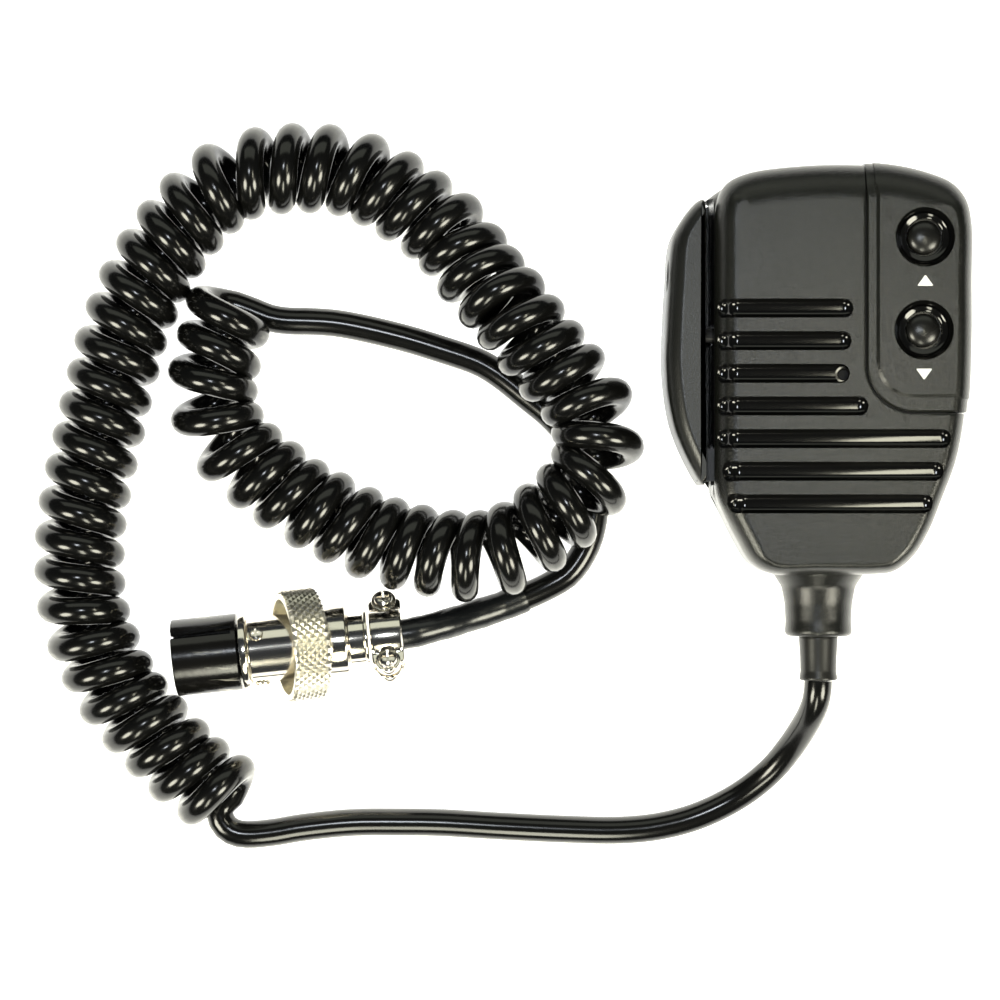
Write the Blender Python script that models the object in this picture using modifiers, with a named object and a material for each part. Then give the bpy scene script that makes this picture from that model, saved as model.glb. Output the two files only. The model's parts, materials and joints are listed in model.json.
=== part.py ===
"""Hand microphone with a curly cord and a round screw-ring plug.

The microphone lies on its hang button, face up. +Z runs out of its face, +Y towards its top
edge, away from the cord, and +X to its right. The origin is the centre of the hang button's
flat outer face. Sizes below are in millimetres and become metres in mm().
"""

import math

import bmesh
import bpy
from mathutils import Matrix, Vector

# Driving dimensions, in millimetres.
GAP = 0.3                      # running gap between pieces that touch
WALL = 2.2                     # wall of the moulded shells
BACK_Z, SEAM_Z, FACE_Z = 5.5, 15.85, 31.0
SIDE_TOP_Z = 26.5              # where the sides start to round into the face
NECK_Z = 16.0                  # height of the neck's axis
POCKET_X = -18.2               # bottom of the side pocket that holds the talk bar
POCKET_Y = (-22.3, 28.8)
POCKET_Z = 9.5
CAVITY_LEFT_X = -15.9
GROOVE_COUNT, GROOVE_PITCH, GROOVE_TOP_Y = 7, 5.4, 9.85
GROOVE_WIDTH, GROOVE_DEPTH = 3.0, 1.2
GROOVE_LEFT_X = (-18.5, -18.5, -18.5, -18.5, -18.5, -17.7, -16.6)
GROOVE_RIGHT_X = (4.4, 4.1, 3.8, 6.9, 20.3, 19.0, 17.3)
SOUND_HOLE = (2.8, -1.1)
PANEL_X, PANEL_Y, PANEL_CORNER = 6.6, -7.35, 8.0
BUTTON_AT = {"up": (16.2, 21.6), "down": (16.0, 6.2)}
BUTTON_R, BUTTON_FLANGE_R = 2.8, 3.8
PLUNGER_R, PLUNGER_HOLE_R = 1.2, 1.5
BOARD_Z, BOARD_THICK = 20.0, 1.6
CASE_POSTS = ((-13.0, 21.5), (2.8, 27.5), (-9.0, -27.5), (9.5, -27.5))
BOARD_POSTS = ((-6.0, 20.0), (-6.0, -4.5))
CLAMP_POSTS = ((-4.4, -24.5), (4.4, -24.5))
PIVOT = (-15.5, -16.0)         # the talk bar's pin
PIN_R, PIN_HOLE_R, EAR_R = 1.0, 1.06, 2.6
BAR_Z = (9.9, 26.5)
TALK_SWITCH_Y, TALK_SWITCH_Z = 5.9, 18.8
CORD_R, COIL_R = 2.4, 7.9
PLUG_FRONT = (-110.0, -49.1, 9.4)
PLUG_ANGLE = 5.94              # of the plug's axis from +X, in degrees
RING_AT, RING_TILT, RING_LIFT = 21.8, 16.0, 0.5
CONTACT_CIRCLE_R, CONTACT_R, CONTACT_HOLE_R = 3.6, 0.95, 1.25
INSERT_SCREWS_AT = 14.6
SADDLE_SCREWS_AT, SADDLE_SCREW_SIDE = 36.6, 6.1
CLAMP_TURN = 35.0              # of the cable clamp about the plug's axis, in degrees
KEY_SLOT_TURN = 40.0           # of the insert's key slot, from straight up towards +Y

# The case seen from the front, clockwise from the top.
CASE_OUTLINE = (
    (4, 34.0), (12, 33.4), (18, 31.9), (21, 30.5), (23.1, 28), (24, 24), (24, 14.5), (24, 5),
    (23.5, -6), (22, -15), (19.5, -21.9), (17.3, -27.3), (14.8, -31.3), (11.6, -33.8),
    (8, -34.3), (-0.5, -34.3), (-9, -34.2), (-12.3, -32.4), (-14.7, -28.6), (-18.5, -21),
    (-21, -17), (-23, -12.5), (-24.4, -8), (-25.3, 0), (-25, 14), (-24.3, 21), (-22.8, 25),
    (-20.2, 28), (-16.5, 30.8), (-12.8, 32.6), (-5, 33.7),
)
BAR_OUTLINE = (
    (-19.85, 28.2), (-19.85, 4), (-19.85, -19.6), (-20.1, -19.6), (-22.2, -16.4),
    (-24.1, -12.3), (-25.4, -8.3), (-26.5, 0), (-26, 14), (-25.3, 21.8), (-23.8, 24.5),
    (-21.7, 27.1), (-20.4, 28.2),
)

# The cord, in millimetres. It leaves the strain relief, drops to the table, coils, and runs
# under its own coil to the plug.
MIC_LEAD = (
    (0, -52.95, 16), (0, -54.6, 15.8), (-0.5, -57, 14), (-1.4, -59.4, 11.5),
    (-3.4, -63.8, 7.4), (-6.9, -68.5, 4.4), (-12.3, -73.2, 2.9), (-19.3, -76.8, 2.5),
    (-26.2, -78.7, 2.5), (-33.2, -79.4, 2.5), (-43.7, -79.2, 2.5), (-54.1, -78.7, 2.5),
    (-64.5, -78.1, 2.5), (-71.5, -78.0, 2.5),
    (-80.2, -78.1, 2.5), (-88.9, -78.8, 2.5), (-95.9, -79.5, 2.5), (-101.2, -79.9, 2.5),
)
COIL = (
    (-102.2, -72.4, 8), (-107.6, -68.5, 8), (-111.9, -64.1, 8), (-116.2, -59.5, 8),
    (-120, -54.7, 8), (-122.9, -49.1, 8), (-125.1, -44, 8), (-126.3, -38.5, 8),
    (-126.6, -32.6, 8), (-126.4, -27.1, 8), (-125.7, -21.6, 8), (-124.6, -16.2, 8),
    (-123.4, -11, 8), (-122.2, -5.5, 8), (-120.9, -0.2, 8), (-119.6, 5.2, 8), (-117.8, 10.3, 8),
    (-115.7, 15.2, 8), (-113.1, 19.8, 8), (-109.6, 24.7, 8), (-105.3, 29.5, 8),
    (-100.3, 33.3, 8), (-94.4, 34.8, 8), (-87.7, 35.3, 8), (-80, 34.5, 8), (-74.3, 32.1, 8),
    (-68.8, 28.6, 8), (-62.7, 23.8, 8.4), (-59.3, 19.1, 9.4), (-56.3, 15.2, 10.8),
    (-53.2, 11.7, 12.2), (-49.8, 7.4, 13.1), (-46.3, 3.1, 13.3), (-42.9, -0.9, 13.3),
    (-39.4, -5, 13.3), (-37.5, -10.2, 13.3), (-37.7, -15.3, 13.3), (-40.6, -20.5, 13.3),
    (-44.6, -24.5, 13.3), (-48.9, -27.9, 12.9), (-53.2, -30.5, 11.8), (-59.6, -31.6, 10.2),
    (-65.3, -30.9, 9.0), (-71.3, -29.7, 8.2), (-77.4, -27.6, 8), (-82.6, -25, 8),
    (-88.1, -22.2, 8), (-93, -18.7, 8), (-98, -14.7, 8), (-102, -9.9, 8), (-103.5, -5, 8),
    (-103.5, 0.2, 8), (-102.3, 4.8, 8), (-101.2, 9.3, 8), (-100.2, 12.1, 8),
)
PLUG_LEAD = (
    (-91.6, 9.3, 2.5), (-87, 9.2, 2.5), (-82, 8.8, 2.5), (-71.5, 6.5, 2.5), (-64.5, 4.4, 2.5),
    (-57.6, 2, 2.5), (-54.1, -0.1, 2.5), (-49.7, -3.6, 2.5), (-44.5, -8, 2.5),
    (-39.8, -14.1, 2.5), (-37.6, -21, 2.5), (-38.1, -27.1, 2.5), (-39.6, -31.1, 2.5),
    (-42.3, -34.8, 2.5), (-46.3, -37.2, 2.6), (-49.4, -38.6, 2.9),
)
SLEEVE_START = (-49.9, -38.82, 2.95)
SLEEVE_MIDDLE = ((-53.6, -40.3, 3.5), (-57.6, -41.6, 4.6), (-61.2, -42.7, 6.2), (-64.5, -43.6, 7.9),
                 (-67.8, -44.45, 9.05))

MATERIALS = {
    "case_black": ((0.02, 0.02, 0.018), 0.55, 0),
    "gloss_black": ((0.012, 0.012, 0.012), 0.25, 0),
    "rubber_black": ((0.018, 0.018, 0.018), 0.45, 0),
    "cord_black": ((0.01, 0.01, 0.01), 0.25, 0),
    "nickel": ((0.75, 0.72, 0.66), 0.2, 1),
    "steel": ((0.6, 0.6, 0.6), 0.3, 1),
    "board_green": ((0.05, 0.2, 0.1), 0.5, 0),
    "contact_silver": ((0.8, 0.8, 0.78), 0.25, 1),
}


def mm(*values):
    return Vector(values) * 0.001


def clear_scene():
    for obj in list(bpy.data.objects):
        bpy.data.objects.remove(obj, do_unlink=True)


def make_collection(name):
    made = bpy.data.collections.new(name)
    bpy.context.scene.collection.children.link(made)
    return made


def make_material(name):
    colour, roughness, metallic = MATERIALS[name]
    made = bpy.data.materials.new(name)
    made.use_nodes = True
    shader = made.node_tree.nodes["Principled BSDF"]
    shader.inputs["Base Color"].default_value = (*colour, 1)
    shader.inputs["Roughness"].default_value = roughness
    shader.inputs["Metallic"].default_value = metallic
    return made


def place(obj, material):
    """Links a piece to the microphone's collection, or a cutter to its own when material is None."""
    if material is None:
        CUTTERS.objects.link(obj)
        obj.hide_render = True
        obj.display_type = "WIRE"
    else:
        PIECES.objects.link(obj)
        obj.data.materials.append(PALETTE[material])
    return obj


def from_bmesh(name, shape, material):
    mesh = bpy.data.meshes.new(name)
    bmesh.ops.recalc_face_normals(shape, faces=shape.faces)
    shape.to_mesh(mesh)
    shape.free()
    return place(bpy.data.objects.new(name, mesh), material)


def cylinder(name, start, end, radius, material=None, segments=24):
    """A cylinder from start to end."""
    start, end = Vector(start), Vector(end)
    length = (end - start).length
    turn = (end - start).to_track_quat("Z", "Y").to_matrix().to_4x4()
    shape = bmesh.new()
    bmesh.ops.create_cone(
        shape, cap_ends=True, segments=segments, depth=length * 0.001, radius1=radius * 0.001,
        radius2=radius * 0.001,
        matrix=Matrix.Translation(mm(*((start + end) / 2))) @ turn,
    )
    return from_bmesh(name, shape, material)


def box(name, low, high, material=None):
    low, high = Vector(low), Vector(high)
    shape = bmesh.new()
    middle = Matrix.Translation(mm(*((low + high) / 2)))
    bmesh.ops.create_cube(shape, size=0.001, matrix=middle @ Matrix.Diagonal((*(high - low), 1)))
    return from_bmesh(name, shape, material)


def turned(name, profile, material=None, segments=32, matrix=None, closed=False):
    """A profile of (radius, height), down its outer side, turned about the local Z axis."""
    mesh = bpy.data.meshes.new(name)
    count = len(profile)
    edges = [(i, (i + 1) % count) for i in range(count if closed else count - 1)]
    mesh.from_pydata([mm(radius, 0, height) for radius, height in profile], edges, [])
    obj = place(bpy.data.objects.new(name, mesh), material)
    screw = obj.modifiers.new("Turn", "SCREW")
    screw.axis = "Z"
    screw.steps = screw.render_steps = segments
    screw.use_merge_vertices = True
    screw.merge_threshold = 0.000001
    screw.use_smooth_shade = False
    obj.matrix_world = matrix or Matrix.Identity(4)
    return obj


def axis_frame(origin, direction):
    """A matrix whose local Z axis runs along direction from origin, in millimetres."""
    return Matrix.Translation(mm(*origin)) @ direction.to_track_quat("Z", "Y").to_matrix().to_4x4()


def loft(name, rings, material=None):
    """A closed solid through rings of equal point counts, capped at both ends."""
    shape = bmesh.new()
    rows = [[shape.verts.new(mm(*point)) for point in ring] for ring in rings]
    for below, above in zip(rows, rows[1:]):
        for i in range(len(below)):
            j = (i + 1) % len(below)
            shape.faces.new((below[i], below[j], above[j], above[i]))
    shape.faces.new(rows[0])
    shape.faces.new(rows[-1])
    return from_bmesh(name, shape, material)


def slab(name, outline, z_low, z_high, material=None, bevel=0):
    """A flat outline, extruded from z_low to z_high, with its edges rounded by bevel."""
    rings = [[(x, y, z) for x, y in outline] for z in (z_low, z_high)]
    obj = loft(name, rings, material)
    if bevel:
        rounding = obj.modifiers.new("Edges", "BEVEL")
        rounding.width = bevel * 0.001
        rounding.segments = 2
        rounding.limit_method = "ANGLE"
        rounding.angle_limit = math.radians(50)
    return obj


def tube(name, points, radius, material, sides_level=2):
    """A round cord or wire through the points."""
    data = bpy.data.curves.new(name, "CURVE")
    data.dimensions = "3D"
    data.bevel_depth = radius * 0.001
    data.bevel_resolution = sides_level
    data.use_fill_caps = True
    spline = data.splines.new("POLY")
    spline.points.add(len(points) - 1)
    for slot, point in zip(spline.points, points):
        slot.co = (*mm(*point), 1)
    obj = bpy.data.objects.new(name, data)
    PIECES.objects.link(obj)
    data.materials.append(PALETTE[material])
    return obj


def join(obj, *others):
    for other in others:
        step = obj.modifiers.new("Join " + other.name, "BOOLEAN")
        step.operation = "UNION"
        step.object = other


def cut(obj, *others):
    for other in others:
        step = obj.modifiers.new("Cut " + other.name, "BOOLEAN")
        step.operation = "DIFFERENCE"
        step.object = other


def keep_inside(obj, other):
    step = obj.modifiers.new("Keep in " + other.name, "BOOLEAN")
    step.operation = "INTERSECT"
    step.object = other


def smooth_path(points, steps):
    """Catmull-Rom points through the given ones."""
    route = [Vector(p) for p in points]
    ends = [2 * route[0] - route[1], *route, 2 * route[-1] - route[-2]]
    made = []
    for a, b, c, d in zip(ends, ends[1:], ends[2:], ends[3:]):
        for k in range(steps):
            t = k / steps
            made.append(
                0.5 * (2 * b + (c - a) * t + (2 * a - 5 * b + 4 * c - d) * t * t
                       + (3 * b - a - 3 * c + d) * t ** 3)
            )
    return made + [route[-1]]


def outward(outline):
    """The outward unit normal at each point of a clockwise outline."""
    made = []
    for i, _ in enumerate(outline):
        before, after = Vector(outline[i - 1]), Vector(outline[(i + 1) % len(outline)])
        along = (after - before).normalized()
        made.append(Vector((-along.y, along.x)))
    return made


def case_ring(z, inset=0.0, left_limit=None):
    """The case's outline at height z: straight sides that round into the face at the front,
    and taper towards the back."""
    rise = max(0.0, min(1.0, (z - SIDE_TOP_Z) / (FACE_Z - SIDE_TOP_Z)))
    roll = 1 - math.sqrt(1 - rise * rise)
    taper = 2.0 * max(0.0, (SEAM_Z - z) / (SEAM_Z - BACK_Z)) ** 2
    ring = []
    for point, normal in zip(CASE_OUTLINE, outward(CASE_OUTLINE)):
        left, right, top = max(-normal.x, 0), max(normal.x, 0), max(normal.y, 0)
        face_inset = 2.0 + 8.6 * left ** 2 + 1.0 * right ** 2 + 4.3 * top ** 2
        moved = Vector(point) - normal * (roll * face_inset + taper + inset)
        x = moved.x if left_limit is None else max(moved.x, left_limit)
        ring.append((x, moved.y, z))
    return ring


def capsule_outline(x_left, x_right, y, width, arc_steps=6):
    """A slot's outline with round ends."""
    radius = width / 2
    made = []
    for centre_x, first in ((x_right - radius, -90), (x_left + radius, 90)):
        for k in range(arc_steps + 1):
            angle = math.radians(first + 180 * k / arc_steps)
            made.append((centre_x + radius * math.cos(angle), y + radius * math.sin(angle)))
    return made


def panel_outline(grow):
    """The switch panel's corner of the case, run well past its outer sides."""
    left, low = PANEL_X - grow, PANEL_Y - grow
    made = [(45, low), (45, 45), (left, 45)]
    for k in range(7):
        angle = math.radians(180 + 15 * k)
        made.append((left + PANEL_CORNER * (1 + math.cos(angle)),
                     low + PANEL_CORNER * (1 + math.sin(angle))))
    return made


def make_case():
    """Both shells and the switch panel, all cut from one outer form."""
    heights = (BACK_Z, 7.5, 11.0, SEAM_Z, SIDE_TOP_Z, 28.8, 30.3, FACE_Z)
    outer = [case_ring(z) for z in heights]
    back_shell = loft("back_shell", outer, "case_black")
    front_shell = loft("front_shell", outer, "case_black")
    panel = loft("switch_panel", outer, "case_black")

    inner_top = FACE_Z - WALL - 0.2
    cavity_heights = (BACK_Z + WALL, 11.0, SEAM_Z, SIDE_TOP_Z, inner_top)
    cavity = loft("cavity_cutter", [case_ring(z, WALL, CAVITY_LEFT_X) for z in cavity_heights])
    along_neck = axis_frame((0, 0, NECK_Z), Vector((0, -1, 0)))
    neck_profile = ((0, 45), (5.2, 45), (5.6, 44.6), (5.6, 42), (6.0, 37.5), (7.2, 34.6), (7.2, 33),
                    (0, 33))
    neck = turned("neck_form", neck_profile, segments=32, matrix=along_neck)
    bore_profile = ((0, 46), (3.55, 46), (3.55, 40.5), (4.9, 40.5), (4.9, 37.5), (3.55, 37.5),
                    (3.55, 30), (0, 30))
    bore = turned("neck_bore", bore_profile, segments=24, matrix=along_neck)
    pocket = box("talk_bar_pocket", (-40, POCKET_Y[0], POCKET_Z), (POCKET_X, POCKET_Y[1], 40))
    half = GAP / 2
    above = box("above_seam", (-60, -60, SEAM_Z - half), (60, 60, 60))
    below = box("below_seam", (-60, -60, -10), (60, 60, SEAM_Z + half))
    panel_keep = slab("panel_region", panel_outline(0), SEAM_Z + half, 40)
    panel_room = slab("panel_room", panel_outline(GAP), SEAM_Z - half, 40)

    join(back_shell, neck)
    cut(back_shell, cavity, bore, pocket, above)
    join(front_shell, neck)
    cut(front_shell, cavity, bore, pocket, below, panel_room)
    keep_inside(panel, panel_keep)
    cut(panel, cavity)

    for k in range(GROOVE_COUNT):
        y = GROOVE_TOP_Y - GROOVE_PITCH * k
        outline = capsule_outline(GROOVE_LEFT_X[k] - 3, GROOVE_RIGHT_X[k], y, GROOVE_WIDTH)
        cut(front_shell, slab(f"groove_cutter_{k}", outline, FACE_Z - GROOVE_DEPTH, 40))
    cut(front_shell, cylinder("sound_hole", (*SOUND_HOLE, 25), (*SOUND_HOLE, 40), 0.9, segments=12))
    for side, (x, y) in BUTTON_AT.items():
        cut(panel, cylinder(f"{side}_hole", (x, y, 24), (x, y, 40), BUTTON_R + GAP))

    add_posts(front_shell, back_shell)
    ear_window = box("ear_window", (-20, -19.4, 15), (-13.2, -12.6, 25.55))
    switch_window = box("switch_window", (-20, 4.2, 17.1), (-15, 7.6, 20.5))
    cut(front_shell, ear_window, switch_window)


def add_posts(front_shell, back_shell):
    """Screw posts, the talk bar's pin posts and the clamp's posts inside the shells."""
    for k, (x, y) in enumerate(CASE_POSTS):
        join(front_shell, cylinder(f"front_post_{k}", (x, y, SEAM_Z + 0.5), (x, y, 29.6), 2.8, segments=16))
        cut(front_shell, cylinder(f"front_post_hole_{k}", (x, y, 14), (x, y, 26), 1.5, segments=12))
        join(back_shell, cylinder(f"back_post_{k}", (x, y, 6.5), (x, y, SEAM_Z - 0.5), 4.0, segments=16))
        cut(back_shell, cylinder(f"back_post_hole_{k}", (x, y, 2), (x, y, 20), 1.5, segments=12))
        cut(back_shell, cylinder(f"head_recess_{k}", (x, y, 2), (x, y, 8), 2.9, segments=16))
    for k, (x, y) in enumerate(BOARD_POSTS):
        join(front_shell, cylinder(f"board_post_{k}", (x, y, 21.9), (x, y, 29.6), 2.0, segments=12))
        cut(front_shell, cylinder(f"board_post_hole_{k}", (x, y, 20), (x, y, 26.5), 1.2, segments=10))
    for k, (x, y) in enumerate(CLAMP_POSTS):
        join(back_shell, cylinder(f"clamp_post_{k}", (x, y, 6.5), (x, y, 18.4), 1.7, segments=12))
        cut(back_shell, cylinder(f"clamp_post_hole_{k}", (x, y, 9.5), (x, y, 20), 1.0, segments=10))
    x, y = PIVOT
    join(front_shell, cylinder("pin_post_front", (x, y, 25.6), (x, y, 29.2), 2.2, segments=16))
    join(back_shell, cylinder("pin_post_back", (x, y, 6.5), (x, y, 14.9), 2.2, segments=16))
    pin_hole = cylinder("pin_hole", (x, y, 11), (x, y, 27.6), 1.3, segments=16)
    cut(front_shell, pin_hole)
    cut(back_shell, pin_hole)
    cut(back_shell, cylinder("hang_screw_hole", (0, 0, 2), (0, 0, 12), 1.7, segments=12))


def make_talk_bar():
    """The side bar with its ear on the pin, the pin, its torsion spring and the switch behind it."""
    bar = slab("ptt_bar", BAR_OUTLINE, *BAR_Z, "case_black", bevel=1.0)
    x, y = PIVOT
    ear_outline = [(-21, -18.8), (x, -18.6)]
    for k in range(7):
        angle = math.radians(-90 + 30 * k)
        ear_outline.append((x + EAR_R * math.cos(angle), y + EAR_R * math.sin(angle)))
    ear_outline.append((-21, -13.2))
    join(bar, slab("bar_ear", ear_outline, 17, 22))
    cut(bar, cylinder("bar_pin_hole", (x, y, 10), (x, y, 24), PIN_HOLE_R, segments=24))
    cylinder("ptt_pivot_pin", (x, y, 11.4), (x, y, 27.2), PIN_R, "steel", segments=24)

    turns, wire, radius, base = 3, 0.3, 1.75, 22.7
    steps = 12 * turns
    coil = [
        (x + radius * math.cos(2 * math.pi * k / 12), y + radius * math.sin(2 * math.pi * k / 12),
         base + turns * 0.8 * k / steps)
        for k in range(steps + 1)
    ]
    leg = (x + radius, y + 5.0, base + turns * 0.8)
    tube("ptt_spring", [*coil, leg], wire, "steel", sides_level=1)

    body = box("ptt_switch_body", (-15.3, -0.5, 15.9), (-9.3, 12.3, 21.7), "gloss_black")
    hole_start = (-17, TALK_SWITCH_Y, TALK_SWITCH_Z)
    cut(body, cylinder("talk_plunger_hole", hole_start, (-12.3, TALK_SWITCH_Y, TALK_SWITCH_Z),
                       PLUNGER_HOLE_R,
                       segments=16))
    cylinder("ptt_switch_plunger", (-19.4, TALK_SWITCH_Y, TALK_SWITCH_Z),
             (-13.4, TALK_SWITCH_Y, TALK_SWITCH_Z), PLUNGER_R, "contact_silver", segments=16)


def make_buttons():
    """Each channel button with the small push switch below it."""
    for side, (x, y) in BUTTON_AT.items():
        at = Matrix.Translation(mm(x, y, 0))
        profile = ((0, 31.4), (1.4, 31.25), (2.4, 30.7), (BUTTON_R, 30.0), (BUTTON_R, 28.2),
                   (BUTTON_FLANGE_R, 28.2), (BUTTON_FLANGE_R, 27.1), (0, 27.1))
        turned(f"{side}_button", profile, "gloss_black", segments=24, matrix=at)
        body = box(f"{side}_switch_body", (x - 3, y - 3, 21.9), (x + 3, y + 3, 25.2), "gloss_black")
        cut(body, cylinder(f"{side}_plunger_hole", (x, y, 23), (x, y, 28), PLUNGER_HOLE_R, segments=16))
        cylinder(f"{side}_switch_plunger", (x, y, 24.2), (x, y, 26.8), PLUNGER_R, "contact_silver",
                 segments=16)


def make_inside():
    """Board, capsule in its boot, and the screws."""
    top = BOARD_Z + BOARD_THICK
    board = box("circuit_board", (-8.7, -8, BOARD_Z), (20.3, 24.5, top), "board_green")
    for k, (x, y) in enumerate(BOARD_POSTS):
        cut(board, cylinder(f"board_hole_{k}", (x, y, 18), (x, y, 24), 1.3, segments=12))
        cap_screw(f"board_screw_{k + 1}", (x, y, 18.2), (x, y, 25.8), 1.8, 1.5, 0.9)
    for k, (x, y) in enumerate(CASE_POSTS):
        cap_screw(f"case_screw_{k + 1}", (x, y, 5.8), (x, y, 24.5), 2.6, 1.9, 1.2)
    x, y = SOUND_HOLE
    at = Matrix.Translation(mm(x, y, 0))
    turned("mic_capsule", ((0, 27.8), (4.5, 27.8), (4.8, 27.5), (4.8, 22.4), (0, 22.4)), "nickel", 24, at)
    boot = ((5.3, 28.2), (6.4, 28.2), (6.4, 22), (5.1, 22), (5.1, 28.0))
    turned("capsule_boot", boot, "rubber_black", 24, at, closed=True)


def make_hang_button():
    """The round button on the back, and the screw that holds it from inside."""
    profile = ((0, 5.2), (3.5, 5.2), (3.5, 1.9), (6.8, 1.9), (7.0, 1.7), (7.0, 0.3), (6.7, 0), (0, 0))
    button = turned("hang_button", profile, "nickel", segments=32)
    cut(button, cylinder("hang_button_thread", (0, 0, 2.2), (0, 0, 8), 1.7, segments=12))
    cap_screw("hang_screw", (0, 0, 9.8), (0, 0, 2.5), 3.0, 1.7, 1.4)


def cap_screw(name, head_end, tip, head_r, head_depth, shank_r):
    """A screw whose head starts at head_end and whose shank ends at tip."""
    start, end = Vector(head_end), Vector(tip)
    length = (end - start).length
    profile = ((0, length), (shank_r, length), (shank_r, head_depth), (head_r, head_depth), (head_r, 0.3),
               (head_r - 0.3, 0), (0, 0))
    return turned(name, profile, "steel", 16, axis_frame(start, end - start))


def make_cord_entry():
    """The strain relief in the neck, the jacket's end inside, its clamp and the five leads."""
    along_neck = axis_frame((0, 0, NECK_Z), Vector((0, -1, 0)))
    relief = ((0, 52.5), (3.2, 52.5), (3.3, 51.8), (3.05, 50.6), (3.3, 45.3), (3.25, 45), (3.25, 40.2),
              (4.6, 40.2), (4.6, 37.8), (3.25, 37.8), (3.25, 36.5), (0, 36.5))
    turned("strain_relief", relief, "rubber_black", 24, along_neck)
    cylinder("cord_inner_end", (0, -36.2, NECK_Z), (0, -21.5, NECK_Z), CORD_R, "cord_black", segments=16)
    plate = box("cord_clamp_plate", (-6.2, -26, 18.8), (6.2, -22.5, 19.8), "steel")
    for k, (x, y) in enumerate(CLAMP_POSTS):
        cut(plate, cylinder(f"plate_hole_{k}", (x, y, 17), (x, y, 22), 1.1, segments=10))
        cap_screw(f"clamp_screw_{k + 1}", (x, y, 21.4), (x, y, 10), 1.5, 1.3, 0.7)
    for k, (angle, end_x) in enumerate(((162, -2.5), (234, 0), (90, 2.5), (306, 5), (18, 7.5))):
        x = 1.35 * math.cos(math.radians(angle))
        z = NECK_Z + 1.35 * math.sin(math.radians(angle))
        route = ((x, -21.2, z), (x, -19.5, z), (0.75 * x + 0.25 * end_x, -16, 0.6 * z + 0.4 * 18.2),
                 (0.2 * x + 0.8 * end_x, -11.5, 18.9), (end_x, -8, 19.2), (end_x, -5.5, 19.2))
        tube(f"lead_wire_{k + 1}", smooth_path(route, 2), 0.45, "rubber_black", sides_level=1)


def make_cord():
    """The straight leads, the coil's outer form and the heat-shrink sleeve at the plug."""
    tube("cord_mic_lead", smooth_path(MIC_LEAD, 1), CORD_R, "cord_black", sides_level=3)
    tube("cord_coil", smooth_path(COIL, 1), COIL_R, "cord_black", sides_level=3)
    tube("cord_plug_lead", smooth_path(PLUG_LEAD, 2), CORD_R, "cord_black", sides_level=3)
    inside_clamp = plug_point(34.2)
    sleeve = [Vector(SLEEVE_START), *(Vector(p) for p in SLEEVE_MIDDLE), plug_point(39.6), inside_clamp]
    tube("heat_shrink_sleeve", smooth_path(sleeve, 1), 2.6, "rubber_black", sides_level=3)


def plug_direction():
    angle = math.radians(PLUG_ANGLE)
    return Vector((math.cos(angle), math.sin(angle), 0))


def plug_point(along, sideways=0.0, up=0.0):
    """A point from the plug's front face: along its axis, sideways to +Y, and up."""
    forward = plug_direction()
    side = Vector((-forward.y, forward.x, 0))
    return Vector(PLUG_FRONT) + forward * along + side * sideways + Vector((0, 0, up))


def around_plug(along, radius, degrees):
    """A point at a radius from the plug's axis, turned from straight up towards +Y."""
    angle = math.radians(degrees)
    return plug_point(along, radius * math.sin(angle), radius * math.cos(angle))


def plug_turned(name, profile, material, segments=32, closed=False):
    return turned(name, profile, material, segments, axis_frame(PLUG_FRONT, plug_direction()), closed)


def make_plug():
    """The screw-ring plug, from its insert to the cable clamp."""
    insert_profile = ((0, 23.5), (4.6, 23.5), (4.6, 11.2), (6.6, 11.2), (6.6, 0.4), (6.2, 0), (0, 0))
    insert = plug_turned("plug_insert", insert_profile, "gloss_black")
    key = box("key_slot", (-0.5, -1.2, 5.6), (10.5, 1.2, 8))
    key.matrix_world = plug_matrix() @ Matrix.Rotation(math.radians(-KEY_SLOT_TURN), 4, "X")
    cut(insert, key)
    for k in range(6):
        angle = math.radians(60 * k + 30)
        at = (CONTACT_CIRCLE_R * math.cos(angle), CONTACT_CIRCLE_R * math.sin(angle))
        hole = cylinder(f"contact_hole_{k}", plug_point(-1, *at), plug_point(8.3, *at), CONTACT_HOLE_R,
                        segments=12)
        cut(insert, hole)
        cylinder(f"plug_contact_{k + 1}", plug_point(0.6, *at), plug_point(8.0, *at), CONTACT_R,
                 "contact_silver", segments=12)
    barrel_profile = ((5.6, 25.3), (5.6, 13.1), (7.0, 13.0), (7.0, 11.6), (4.95, 11.6), (4.95, 25.3))
    barrel = plug_turned("plug_front_barrel", barrel_profile, "nickel", closed=True)
    for k, angle in enumerate((30, 150, 270)):
        inner, tip, head, beyond = (around_plug(INSERT_SCREWS_AT, radius, angle)
                                    for radius in (4.0, 4.35, 6.5, 9.0))
        hole = cylinder(f"insert_screw_hole_{k}", inner, beyond, 0.95, segments=12)
        cut(barrel, hole)
        cut(insert, hole)
        cap_screw(f"insert_screw_{k + 1}", head, tip, 1.25, 0.6, 0.6)

    make_coupling_ring()
    plug_turned("plug_rear_barrel", ((6.2, 29.8), (6.2, 25.6), (4.0, 25.6), (4.0, 29.8)), "nickel",
                closed=True)
    neck = plug_turned("gland_neck",
                       ((0, 33.5), (4.8, 33.5), (4.8, 33.0), (4.65, 33.0), (4.65, 30.1), (0, 30.1)),
                       "nickel")
    for k, side in enumerate((1, -1)):
        flat = box(f"gland_flat_{k}", (30, 4.1 * side, -6), (32.7, 6 * side, 6))
        flat.matrix_world = plug_matrix()
        cut(neck, flat)
    make_cable_clamp()


def plug_matrix():
    """Local X along the plug's axis, local Z up."""
    return Matrix.Translation(mm(*PLUG_FRONT)) @ Matrix.Rotation(math.radians(PLUG_ANGLE), 4, "Z")


def ring_axis():
    """The loose ring's own axis, from its open front to its rear lip."""
    tilt = math.radians(RING_TILT)
    return plug_direction() * math.cos(tilt) - Vector((0, 0, math.sin(tilt)))


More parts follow.
